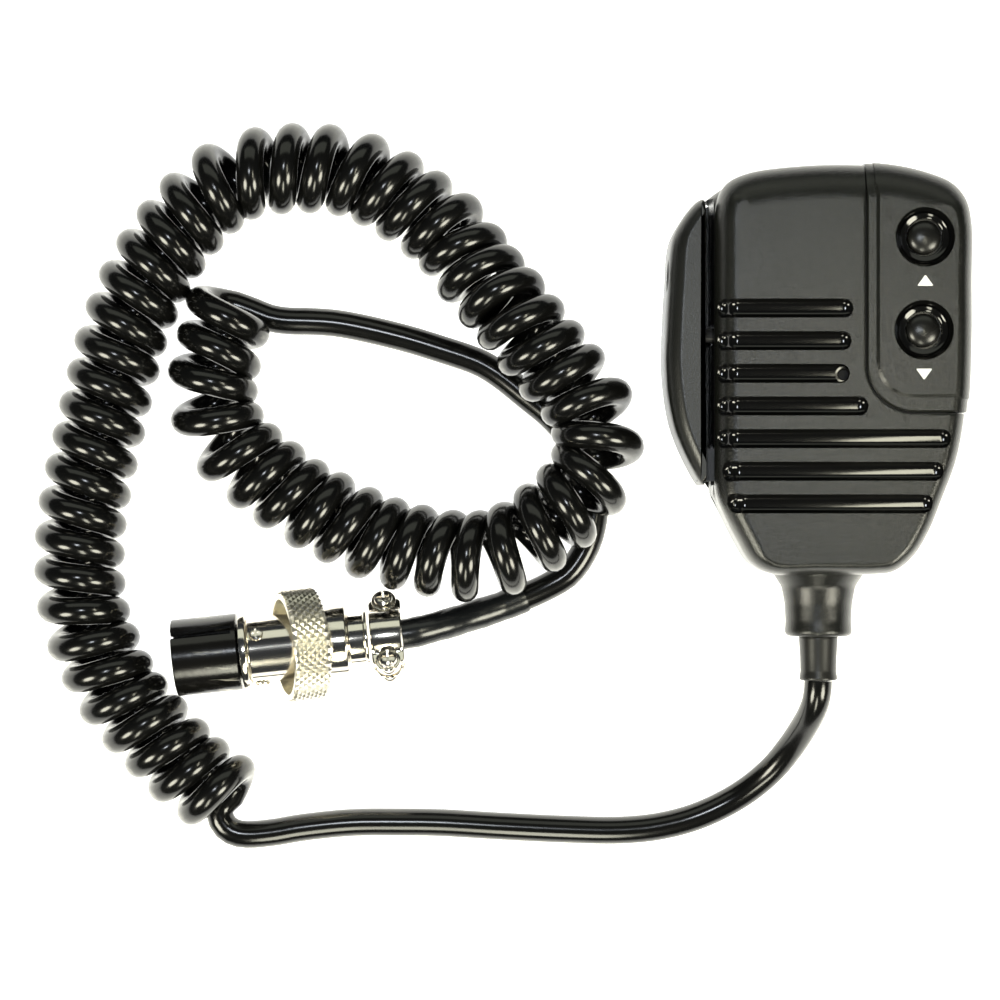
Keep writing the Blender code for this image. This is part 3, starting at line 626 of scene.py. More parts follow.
def relief_rubber():
    return surface("Moulded rubber", (0.007, 0.007, 0.006), 0.36, grain=2200, depth=0.00003, strength=0.4)


def shrink_sleeve_plastic():
    return surface("Heat-shrink sleeve", (0.006, 0.007, 0.008), 0.24, grain=900, depth=0.00005,
                   strength=0.4, wear=0.4)


def nickel():
    return surface("Nickel plate", (0.80, 0.76, 0.68), 0.13, metallic=1, grain=1500, depth=0.00001,
                   strength=0.25, worn=(0.5, 0.46, 0.38), wear=0.5, spread=0.1)


def knurl_nickel():
    return surface("Knurled nickel", (0.90, 0.86, 0.74), 0.30, metallic=1, grain=1800, depth=0.00002,
                   strength=0.3, worn=(0.42, 0.36, 0.24), wear=0.6)


def screw_steel():
    return surface("Screw steel", (0.78, 0.74, 0.66), 0.2, metallic=1, grain=2500, strength=0.3)


def contact_silver():
    return surface("Contact silver", (0.86, 0.85, 0.82), 0.22, metallic=1, grain=2500, strength=0.3)


def marking_ink():
    return surface("White marking ink", (0.86, 0.87, 0.86), 0.5, grain=2600, depth=0.00001,
                   strength=0.2, wear=0)


def dark_depth():
    return surface("Unlit recess", (0.003, 0.003, 0.003), 0.6, grain=900)


INNER_FINISH = {
    "circuit_board": ("Solder resist", (0.02, 0.13, 0.06), 0.35, 0),
    "lead_wire": ("Wire insulation", (0.35, 0.03, 0.03), 0.35, 0),
    "switch": ("Switch moulding", (0.03, 0.03, 0.03), 0.4, 0),
    "capsule_boot": ("Boot rubber", (0.02, 0.02, 0.02), 0.6, 0),
    "mic_capsule": ("Capsule aluminium", (0.7, 0.7, 0.7), 0.3, 1),
    "cord_inner_end": ("Inner jacket vinyl", (0.01, 0.01, 0.01), 0.3, 0),
}


def inner_finish(node):
    """The finish of a CAD node that stays as it is, by its name, and plain steel for the rest."""
    for key, (name, colour, roughness, metallic) in INNER_FINISH.items():
        if key in node:
            return surface(name, colour, roughness, metallic=metallic, grain=1500, strength=0.3)
    return screw_steel()


# ---------------------------------------------------------------- geometry nodes


def copies_tree():
    """Puts copies of a mesh on a set of points, turned and sized by the points' own attributes."""
    name = "Copies on points"
    if name in bpy.data.node_groups:
        return bpy.data.node_groups[name]
    tree = bpy.data.node_groups.new(name, "GeometryNodeTree")
    add_input(tree, "Geometry", "NodeSocketGeometry")
    add_input(tree, "Copy", "NodeSocketObject")
    add_input(tree, "Material", "NodeSocketMaterial")
    tree.interface.new_socket("Geometry", in_out="OUTPUT", socket_type="NodeSocketGeometry")
    nodes, links = tree.nodes, tree.links
    entry, leave = nodes.new("NodeGroupInput"), nodes.new("NodeGroupOutput")
    source, spread = nodes.new("GeometryNodeObjectInfo"), nodes.new("GeometryNodeInstanceOnPoints")
    turn, size = (nodes.new("GeometryNodeInputNamedAttribute") for _ in range(2))
    turn.data_type = size.data_type = "FLOAT_VECTOR"
    turn.inputs["Name"].default_value = "turn"
    size.inputs["Name"].default_value = "size"
    whole, paint = nodes.new("GeometryNodeRealizeInstances"), nodes.new("GeometryNodeSetMaterial")
    links.new(entry.outputs["Copy"], source.inputs["Object"])
    links.new(entry.outputs["Geometry"], spread.inputs["Points"])
    links.new(source.outputs["Geometry"], spread.inputs["Instance"])
    links.new(turn.outputs["Attribute"], spread.inputs["Rotation"])
    links.new(size.outputs["Attribute"], spread.inputs["Scale"])
    links.new(spread.outputs["Instances"], whole.inputs["Geometry"])
    links.new(whole.outputs["Geometry"], paint.inputs["Geometry"])
    links.new(entry.outputs["Material"], paint.inputs["Material"])
    links.new(paint.outputs["Geometry"], leave.inputs["Geometry"])
    return tree


def set_inputs(modifier, **values):
    """Sets a tree's inputs by name, with underscores for spaces."""
    for item in modifier.node_group.interface.items_tree:
        if item.item_type == "SOCKET" and item.in_out == "INPUT" and item.name.replace(" ", "_") in values:
            modifier[item.identifier] = values[item.name.replace(" ", "_")]


def copies(name, places, copy, material):
    """One mesh of copies of an object: places are (matrix in millimetres, (x, y, z) size)."""
    mesh = bpy.data.meshes.new(name)
    mesh.from_pydata([m.translation * 0.001 for m, _ in places], [], [])
    turn = mesh.attributes.new("turn", "FLOAT_VECTOR", "POINT")
    size = mesh.attributes.new("size", "FLOAT_VECTOR", "POINT")
    for k, (matrix, scale) in enumerate(places):
        turn.data[k].vector = matrix.to_euler()
        size.data[k].vector = scale
    obj = bpy.data.objects.new(name, mesh)
    bpy.context.scene.collection.objects.link(obj)
    step = obj.modifiers.new("Copies", "NODES")
    step.node_group = copies_tree()
    set_inputs(step, Copy=copy, Material=material)
    bake(obj)
    bpy.data.objects.remove(copy, do_unlink=True)
    return obj


def knurl_tree():
    """Diamond knurling: staggered rows of small pyramids round a cylinder."""
    name = "Diamond knurl"
    if name in bpy.data.node_groups:
        return bpy.data.node_groups[name]
    tree = bpy.data.node_groups.new(name, "GeometryNodeTree")
    add_input(tree, "Geometry", "NodeSocketGeometry")
    for label, value in (("Columns", 58), ("Rows", 11)):
        add_input(tree, label, "NodeSocketInt", value)
    for label, value in (("Radius", 0.009), ("Width", 0.005), ("Height", 0.0003)):
        add_input(tree, label, "NodeSocketFloat", value)
    add_input(tree, "Material", "NodeSocketMaterial")
    tree.interface.new_socket("Geometry", in_out="OUTPUT", socket_type="NodeSocketGeometry")
    nodes, links = tree.nodes, tree.links
    entry, leave = nodes.new("NodeGroupInput"), nodes.new("NodeGroupOutput")

    def calc(operation, a, b=None):
        step = nodes.new("ShaderNodeMath")
        step.operation = operation
        for slot, value in enumerate((a, b)):
            if value is None:
                continue
            if isinstance(value, (int, float)):
                step.inputs[slot].default_value = value
            else:
                links.new(value, step.inputs[slot])
        return step.outputs[0]

    columns, rows = entry.outputs["Columns"], entry.outputs["Rows"]
    count = calc("MULTIPLY", columns, rows)
    line = nodes.new("GeometryNodeMeshLine")
    links.new(count, line.inputs["Count"])
    index = nodes.new("GeometryNodeInputIndex").outputs[0]
    row = calc("FLOOR", calc("DIVIDE", calc("ADD", index, 0.5), columns))
    column = calc("SUBTRACT", index, calc("MULTIPLY", row, columns))
    shift = calc("MULTIPLY", calc("MODULO", row, 2.0), 0.5)
    step_angle = calc("DIVIDE", 2 * math.pi, columns)
    angle = calc("MULTIPLY", calc("ADD", column, shift), step_angle)
    spot = nodes.new("ShaderNodeCombineXYZ")
    links.new(calc("MULTIPLY", calc("COSINE", angle), entry.outputs["Radius"]), spot.inputs["X"])
    links.new(calc("MULTIPLY", calc("SINE", angle), entry.outputs["Radius"]), spot.inputs["Y"])
    share = calc("SUBTRACT", calc("DIVIDE", row, calc("SUBTRACT", rows, 1.0)), 0.5)
    links.new(calc("MULTIPLY", share, entry.outputs["Width"]), spot.inputs["Z"])
    move = nodes.new("GeometryNodeSetPosition")
    links.new(line.outputs["Mesh"], move.inputs["Geometry"])
    links.new(spot.outputs[0], move.inputs["Position"])
    cone = nodes.new("GeometryNodeMeshCone")
    cone.inputs["Vertices"].default_value = 4
    cone.inputs["Radius Top"].default_value = 0.0
    base = calc("MULTIPLY", calc("MULTIPLY", step_angle, entry.outputs["Radius"]), 0.53)
    links.new(base, cone.inputs["Radius Bottom"])
    links.new(entry.outputs["Height"], cone.inputs["Depth"])
    facing = nodes.new("ShaderNodeCombineXYZ")
    facing.inputs["Y"].default_value = math.pi / 2
    links.new(angle, facing.inputs["Z"])
    spread = nodes.new("GeometryNodeInstanceOnPoints")
    links.new(move.outputs["Geometry"], spread.inputs["Points"])
    links.new(cone.outputs["Mesh"], spread.inputs["Instance"])
    links.new(facing.outputs[0], spread.inputs["Rotation"])
    whole, paint = nodes.new("GeometryNodeRealizeInstances"), nodes.new("GeometryNodeSetMaterial")
    links.new(spread.outputs["Instances"], whole.inputs["Geometry"])
    links.new(whole.outputs["Geometry"], paint.inputs["Geometry"])
    links.new(entry.outputs["Material"], paint.inputs["Material"])
    links.new(paint.outputs["Geometry"], leave.inputs["Geometry"])
    return tree


def cross_head(name, radius=1.0, height=0.6):
    """A pan head with a cross recess, its seat at z 0, in unit millimetres."""
    profile = [(0, -0.6), (radius * 0.55, -0.6), (radius * 0.55, 0), (radius, 0), (radius, height * 0.35),
               (radius * 0.9, height * 0.75), (radius * 0.6, height * 0.97), (0, height)]
    head = turned(name, profile, segments=32)
    long, thin = radius * 0.62, radius * 0.12
    for angle in (0, 90):
        slot = block((-long, -thin, height * 0.35), (long, thin, height * 2))
        slot.data.transform(Matrix.Rotation(math.radians(angle), 4, "Z"))
        combine(head, slot, "DIFFERENCE")
    shade(head, 30)
    return head


# ---------------------------------------------------------------- the plug's frame


def plug_axis():
    """The plug's front centre and its direction, from its front to its cable clamp."""
    angle = math.radians(PLUG_ANGLE)
    return Vector(PLUG_FRONT), Vector((math.cos(angle), math.sin(angle), 0))


def plug_point(along, sideways=0.0, up=0.0):
    """A point from the plug's front: along its axis, sideways to +Y, and up."""
    front, forward = plug_axis()
    side = Vector((-forward.y, forward.x, 0))
    return front + forward * along + side * sideways + Vector((0, 0, up))


def plug_matrix():
    """Local Z along the plug, from its front."""
    front, forward = plug_axis()
    return axis_matrix(front, forward)


def lay_along_plug(obj, roll=0):
    """Moves a block made along +X onto the plug, rolled about the plug's axis by some degrees."""
    front, _ = plug_axis()
    lying = Matrix.Translation(front) @ Matrix.Rotation(math.radians(PLUG_ANGLE), 4, "Z")
    rolled = Matrix.Rotation(math.radians(-roll), 4, "X")
    for step in (Matrix.Scale(1000, 4), rolled, lying, Matrix.Scale(0.001, 4)):
        obj.data.transform(step)


def contact_point(k, along):
    """A point on the axis of one of the plug's contacts."""
    angle = math.radians(360 / CONTACTS * (k + 0.5))
    return plug_point(along, CONTACT_CIRCLE_R * math.cos(angle), CONTACT_CIRCLE_R * math.sin(angle))


def clamp_point(along, across, up):
    """A point of the cable clamp, which sits turned about the plug's axis."""
    angle = math.radians(CLAMP_TURN)
    return plug_point(along, across * math.cos(angle) + up * math.sin(angle),
                      up * math.cos(angle) - across * math.sin(angle))


# ---------------------------------------------------------------- settings


class MicCaseSettings(PropertyGroup):
    groove_pitch: FloatProperty(name="Groove Pitch", description="Distance between the face's grooves",
                                default=0.0054, unit="LENGTH")
    groove_width: FloatProperty(name="Groove Width", description="Width of each groove", default=0.003,
                                unit="LENGTH")
    groove_depth: FloatProperty(name="Groove Depth", description="Depth of each groove", default=0.00125,
                                unit="LENGTH")
    groove_count: IntProperty(name="Grooves", description="How many grooves the face has", default=7,
                              min=1, max=7)
    plastic_colour: FloatVectorProperty(name="Plastic Colour", description="Colour of the case", size=3,
                                        subtype="COLOR", default=(0.0060, 0.0064, 0.0054), min=0, max=1)


class MicCordSettings(PropertyGroup):
    diameter: FloatProperty(name="Cord Diameter", description="Outer diameter of the cord", default=0.0048,
                            unit="LENGTH")
    points_per_turn: IntProperty(name="Points per Turn", description="Points along each turn of the curl",
                                 default=28, min=12)


class MicPlugSettings(PropertyGroup):
    knurl_columns: IntProperty(name="Knurl Columns", description="Diamonds round the ring", default=44,
                               min=12)
    knurl_rows: IntProperty(name="Knurl Rows", description="Rows of diamonds", default=8, min=3)


class MicStageSettings(PropertyGroup):
    lens: FloatProperty(name="Lens", description="Camera's focal length", default=117.2, unit="CAMERA")
    camera_height: FloatProperty(name="Camera Height", description="Camera above the table", default=0.5694,
                                 unit="LENGTH")


# ---------------------------------------------------------------- operators


class MIC_OT_stage(Operator):
    """Add the floor, the lights, the world and the camera"""

    bl_idname = "mic.stage"
    bl_label = "Stage"

    def execute(self, context):
        settings = context.scene.mic_stage
        middle = Vector((*VIEW_CENTRE, 0)) * 0.001
        bpy.ops.mesh.primitive_plane_add(size=6, location=middle)
        floor = context.object
        floor.name = "table_top"
        white = bpy.data.materials.new("Table white")
        white.use_nodes = True
        shader = white.node_tree.nodes["Principled BSDF"]
        shader.inputs["Base Color"].default_value = (0.92, 0.92, 0.9, 1)
        shader.inputs["Roughness"].default_value = 0.15
        shader.inputs["Emission Color"].default_value = (1.0, 1.0, 0.97, 1)
        shader.inputs["Emission Strength"].default_value = 1.3
        floor.data.materials.append(white)

        world = bpy.data.worlds.new("Dim room")
        world.use_nodes = True
        nodes, links = world.node_tree.nodes, world.node_tree.links
        dim, pale = nodes["Background"], nodes.new("ShaderNodeBackground")
        dim.inputs["Color"].default_value = (0.75, 0.85, 1.0, 1)
        dim.inputs["Strength"].default_value = 0.04
        pale.inputs["Color"].default_value = (0.95, 0.95, 0.93, 1)
        ray, mix = nodes.new("ShaderNodeLightPath"), nodes.new("ShaderNodeMixShader")
        links.new(ray.outputs["Is Camera Ray"], mix.inputs["Fac"])
        links.new(dim.outputs[0], mix.inputs[1])
        links.new(pale.outputs[0], mix.inputs[2])
        links.new(mix.outputs[0], nodes["World Output"].inputs["Surface"])
        context.scene.world = world

        lights = (
            ("left_softbox", (-44, -33), 0.85, (0.32, 0.40), 6.2, (1.0, 0.97, 0.80)),
            ("right_softbox", (44, -33), 0.85, (0.32, 0.40), 6.2, (1.0, 0.97, 0.80)),
            ("axis_light", (-4, 5), 0.80, (0.115, 0.115), 1.0, (0.88, 0.94, 1.0)),
            ("back_wall", (0, 52), 0.9, (1.3, 0.45), 1.5, (0.96, 1.0, 0.84)),
            ("near_strip", (20.4, 4.8), 0.27, (0.09, 0.020), 0.075, (1.0, 0.97, 0.76)),
            ("front_strip", (0, -49), 0.85, (0.16, 0.42), 2.2, (1.0, 0.98, 0.80)),
        )
        for name, (tilt_x, tilt_y), distance, (width, height), power, colour in lights:
            data = bpy.data.lights.new(name, "AREA")
            data.shape = "RECTANGLE" if "wall" in name else "ELLIPSE"
            data.size, data.size_y = width, height
            data.energy = power
            data.color = colour
            lamp = bpy.data.objects.new(name, data)
            context.scene.collection.objects.link(lamp)
            aim = Vector((math.tan(math.radians(tilt_x)), math.tan(math.radians(tilt_y)), 1))
            aim.normalize()
            lamp.location = middle + aim * distance
            lamp.rotation_euler = aim.to_track_quat("Z", "Y").to_euler()

        camera = bpy.data.objects.new("view_camera", bpy.data.cameras.new("view_camera"))
        context.scene.collection.objects.link(camera)
        camera.location = (middle.x, middle.y, settings.camera_height)
        camera.data.lens = settings.lens
        camera.data.clip_end = 20
        context.scene.camera = camera
        context.scene.view_settings.view_transform = "Standard"
        return {"FINISHED"}


class MIC_OT_front_shell(Operator):
    """Add the grooved front shell"""

    bl_idname = "mic.front_shell"
    bl_label = "Front Shell"

    def execute(self, context):
        settings = context.scene.mic_case
        shell = face_solid("front_cover", FACE_OUTLINE, SEAM_Z + GAP / 2)
        shell.data.materials.append(case_plastic())
        shell.data.materials.append(case_gloss())
        combine(shell, shoulder_solid(), "UNION")
        combine(shell, neck_solid(), "UNION")
        combine(shell, block((-60, -60, -5), (60, 60, SEAM_Z + GAP / 2)), "DIFFERENCE")
        combine(shell, cavity_solid(), "DIFFERENCE")
        combine(shell, neck_bore(), "DIFFERENCE")
        room = corner_region(SEAM_LINE, 0.22, SEAM_Z - 1, FACE_Z + 0.6, 2.0, FACE_Z - 0.15)
        combine(shell, room, "DIFFERENCE")
        for k in range(settings.groove_count):
            combine(shell, groove_cutter(k, settings), "DIFFERENCE")
        at = Matrix.Translation(Vector((*SOUND_HOLE, 0)))
        hole = ((0, 27), (0.9, 27), (0.9, 29.5), (1.0, 29.6), (1.35, 29.62), (1.4, 30.4), (0, 30.4))
        combine(shell, turned("sound_hole", hole, at, 32, 1), "DIFFERENCE")
        combine(shell, ear_room(15), "DIFFERENCE")
        plunger_window = block((-20, 4.2, 17.1), (-15, 7.6, 20.5))
        combine(shell, plunger_window, "DIFFERENCE")
        shade(shell, 32, weighted=True)
        finish_piece(shell, "case", (case_plastic(), case_gloss()), ("front_shell",))
        felt = turned("dust_cloth", ((0, 27.85), (4.4, 27.85), (4.4, 28.15), (0, 28.15)), at, 32)
        finish_piece(felt, "case", (dark_depth(),))
        return {"FINISHED"}


def shoulder_solid():
    """The lower step of the front shell, which closes round both ends of the talk bar."""
    outline = even_outline(CASE_OUTLINE, 12, 0.9)
    normals = outward(outline)
    rings = [[(*(p - n * 0.12), SEAM_Z) for p, n in zip(outline, normals)]]
    for k in range(9):
        angle = math.pi / 2 * k / 8
        inset = 0.12 + 3.2 * (1 - math.cos(angle))
        rings.append([(*(p - n * inset), 20.5 + 4.0 * math.sin(angle)) for p, n in zip(outline, normals)])
    solid = loft("shoulder", rings)
    combine(solid, block((-60, POCKET_Y[0], 0), (BAR_WALL_X, POCKET_Y[1], 60)), "DIFFERENCE")
    return solid


def neck_solid():
    """The collar that both shells share where the cord enters."""
    profile = rounded(((0, 45), (5.25, 45), (5.75, 44.4), (5.6, 42.5), (5.75, 39.5), (6.3, 36.6),
                       (7.6, 34.6), (8.4, 33.0), (0, 33.0)), 0.5)
    return turned("neck", profile, axis_matrix((0, 0, NECK_Z), (0, -1, 0)), 72)


def neck_bore():
    """The collar's bore, with the groove that holds the strain relief's flange."""
    profile = ((0, 46), (3.55, 46), (3.55, 40.5), (4.9, 40.5), (4.9, 37.5), (3.55, 37.5), (3.55, 30),
               (0, 30))
    return turned("neck_bore", profile, axis_matrix((0, 0, NECK_Z), (0, -1, 0)), 48)


class MIC_OT_back_shell(Operator):
    """Add the back shell with the ledge under the talk bar"""

    bl_idname = "mic.back_shell"
    bl_label = "Back Shell"

    def execute(self, context):
        outline = even_outline(CASE_OUTLINE, 12, 0.8)
        normals = outward(outline)
        edge, taper = 2.0, 1.9
        levels = []
        for k in range(9):
            angle = math.pi / 2 * k / 8
            levels.append((BACK_Z + edge * (1 - math.sin(angle)), edge * (1 - math.cos(angle)) * 0.9))
        levels.sort()
        levels += [(10, 0), (13, 0), (SEAM_Z - GAP / 2, 0)]
        rings = []
        for z, inset in levels:
            lean = taper * ((SEAM_Z - z) / (SEAM_Z - BACK_Z)) ** 2
            rings.append([(*(p - n * (inset + lean)), z) for p, n in zip(outline, normals)])
        shell = loft("back_cover", rings)
        combine(shell, neck_solid(), "UNION")
        combine(shell, block((-60, -60, SEAM_Z - GAP / 2), (60, 60, 60)), "DIFFERENCE")
        combine(shell, cavity_solid(), "DIFFERENCE")
        combine(shell, neck_bore(), "DIFFERENCE")
        combine(shell, block((-60, POCKET_Y[0], POCKET_Z), (BAR_WALL_X, POCKET_Y[1], 40)), "DIFFERENCE")
        for k in range(4):
            x, y, _ = centre_mm(f"case_screw_{k + 1}")
            at = Matrix.Translation(Vector((x, y, 0)))
            well = ((0, 2), (3.4, 2), (3.4, 5.2), (2.9, 5.8), (2.9, 8.2), (0, 8.2))
            combine(shell, turned("screw_well", well, at, 40), "DIFFERENCE")
        shade(shell, 32, weighted=True)
        finish_piece(shell, "case", (case_plastic(),), ("back_shell",))

        tongue_rings = []
        for z in (SEAM_Z - 1.2, SEAM_Z + 0.9):
            ring = [(*(p - n * 0.9), z) for p, n in zip(outline, normals)]
            tongue_rings.append([(max(x, BAR_WALL_X + 0.9), y, z) for x, y, z in ring])
        tongue = loft("seam_tongue", tongue_rings)
        combine(tongue, cavity_solid(), "DIFFERENCE")
        combine(tongue, neck_bore(), "DIFFERENCE")
        combine(tongue, ear_room(12), "DIFFERENCE")
        finish_piece(tongue, "case", (dark_depth(),))
        return {"FINISHED"}


class MIC_OT_switch_panel(Operator):
    """Add the switch panel with its raised field, button dishes and marks"""

    bl_idname = "mic.switch_panel"
    bl_label = "Switch Panel"

    def execute(self, context):
        panel = face_solid("switch_cover", CASE_OUTLINE, SEAM_Z + GAP / 2, grow=0.35)
        panel.data.materials.append(case_plastic())
        panel.data.materials.append(case_gloss())
        border = corner_region(SEAM_LINE, 0.0, SEAM_Z - 1, FACE_Z + 1.2, -1.5, FACE_Z - 0.3)
        combine(panel, border, "INTERSECT")
        field = face_solid("raised_field", CASE_OUTLINE, SEAM_Z + GAP / 2 + 0.4, grow=0.5,
                           top_z=FACE_Z + 0.4)
        region = corner_region(FIELD_LINE, 0.9, SEAM_Z - 1, FACE_Z + 1.0, -1.6, FACE_Z - 0.1)
        combine(field, region, "INTERSECT")
        combine(panel, field, "UNION")
        combine(panel, cavity_solid(), "DIFFERENCE")
        for name in ("up_button", "down_button"):
            x, y, _ = centre_mm(name)
            at = Matrix.Translation(Vector((x, y, 0)))
            dish = ((0, 28), (3.1, 28), (3.1, 30.4), (3.2, 30.5), (3.45, 30.57), (3.7, 30.67),
                    (3.92, 30.79), (4.02, 30.77), (4.1, 30.4), (4.25, 30.25), (4.45, 30.33),
                    (4.7, 30.75), (4.9, 31.35), (5.05, 31.6), (0, 31.6))
            combine(panel, turned("dish", dish, at, 72, 1), "DIFFERENCE")
        shade(panel, 32, weighted=True)
        finish_piece(panel, "case", (case_plastic(), case_gloss()), ("switch_panel",))
        flange = face_solid("seam_flange", CASE_OUTLINE, SEAM_Z + GAP / 2, grow=-0.9, top_z=FACE_Z - 0.9)
        combine(flange, corner_region(SEAM_LINE, 0.9, SEAM_Z - 1, FACE_Z + 1), "INTERSECT")
        combine(flange, corner_region(SEAM_LINE, -0.7, SEAM_Z - 2, FACE_Z + 2), "DIFFERENCE")
        combine(flange, cavity_solid(), "DIFFERENCE")
        finish_piece(flange, "case", (dark_depth(),))
        self.add_marks()
        return {"FINISHED"}

    def add_marks(self):
        """Plain arrowheads below the buttons, where wording would stand."""
        for name, direction in (("up_button", 1), ("down_button", -1)):
            x, y, _ = centre_mm(name)
            y -= 7.25
            base = y - 0.85 * direction
            corners = ((x - 1.35, base), (x + 1.35, base), (x, y + direction))
            outline = rounded(corners, 0.25, closed=True)
            top = FACE_Z + 0.4
            rings = [[(px, py, z) for px, py in outline] for z in (top - 0.05, top + 0.03)]
            mark = loft(name.replace("button", "mark"), rings)
            finish_piece(mark, "case", (marking_ink(),))


class MIC_OT_talk_bar(Operator):
    """Add the talk bar on the left side"""

    bl_idname = "mic.talk_bar"
    bl_label = "Talk Bar"

    def execute(self, context):
        low, _ = box_mm("ptt_bar")
        outline = even_outline(BAR_OUTLINE, 8, 0.6)
        normals = outward(outline)
        levels = ((0, 0.55, 0.55), (0.15, 0.2, 0.2), (0.6, 0, 0), (6, 0, 0), (12.6, 0, 0),
                  (14.6, 0.25, 0.03), (15.5, 0.8, 0.1), (16.1, 1.6, 0.25), (16.4, 2.1, 0.45),
                  (16.55, 2.5, 0.65), (16.6, 2.9, 0.9))
        rings = []
        for height, outer_inset, inner_inset in levels:
            ring = []
            for point, normal in zip(outline, normals):
                share = max(-normal.x, 0)
                moved = point - normal * (outer_inset * share + inner_inset * (1 - share))
                ring.append((min(moved.x, -19.7), moved.y, low.z + height))
            rings.append(ring)
        bar = loft("talk_bar", rings)
        bowl = [math.pi * k / 10 for k in range(1, 10)]
        dimple_profile = [(0, -1.2), *((3.2 * math.sin(a), -1.2 * math.cos(a)) for a in bowl), (0, 1.2)]
        dimple = turned("dimple", dimple_profile, axis_matrix((-26.45, 16, 21.5), (1, 0, 0)), 48)
        combine(bar, dimple, "DIFFERENCE")
        x, y = TALK_PIVOT
        ear = [(-21, -18.8), (x, -18.6)]
        for degrees in range(-90, 91, 15):
            angle = math.radians(degrees)
            ear.append((x + 2.6 * math.cos(angle), y + 2.6 * math.sin(angle)))
        ear.append((-21, -13.2))
        combine(bar, loft("ear", [[(px, py, z) for px, py in ear] for z in (17, 22)]), "UNION")
        pin = turned("pin", ((0, 10), (1.06, 10), (1.06, 24), (0, 24)),
                     Matrix.Translation(Vector((x, y, 0))), 32)
        combine(bar, pin, "DIFFERENCE")
        shade(bar, 32, weighted=True)
        finish_piece(bar, "ptt_bar", (bar_plastic(),), ("ptt_bar",))
        return {"FINISHED"}


class MIC_OT_buttons(Operator):
    """Add the two domed channel buttons"""

    bl_idname = "mic.buttons"
    bl_label = "Channel Buttons"

    def execute(self, context):
        for name in ("up_button", "down_button"):
            x, y, _ = centre_mm(name)
            profile = [(0, 27.1), (3.8, 27.1), (3.8, 28.2), (2.8, 28.2), (2.8, 30.2)]
            profile += [(2.8 * math.cos(a), 30.2 + 1.15 * math.sin(a)) for a in
                        (math.radians(12 * k) for k in range(1, 8))]
            profile.append((0, 31.38))
            key = turned(name.replace("button", "key"), profile, Matrix.Translation(Vector((x, y, 0))), 64)
            shade(key, 40)
            finish_piece(key, name, (button_plastic(),), (name,))
        return {"FINISHED"}


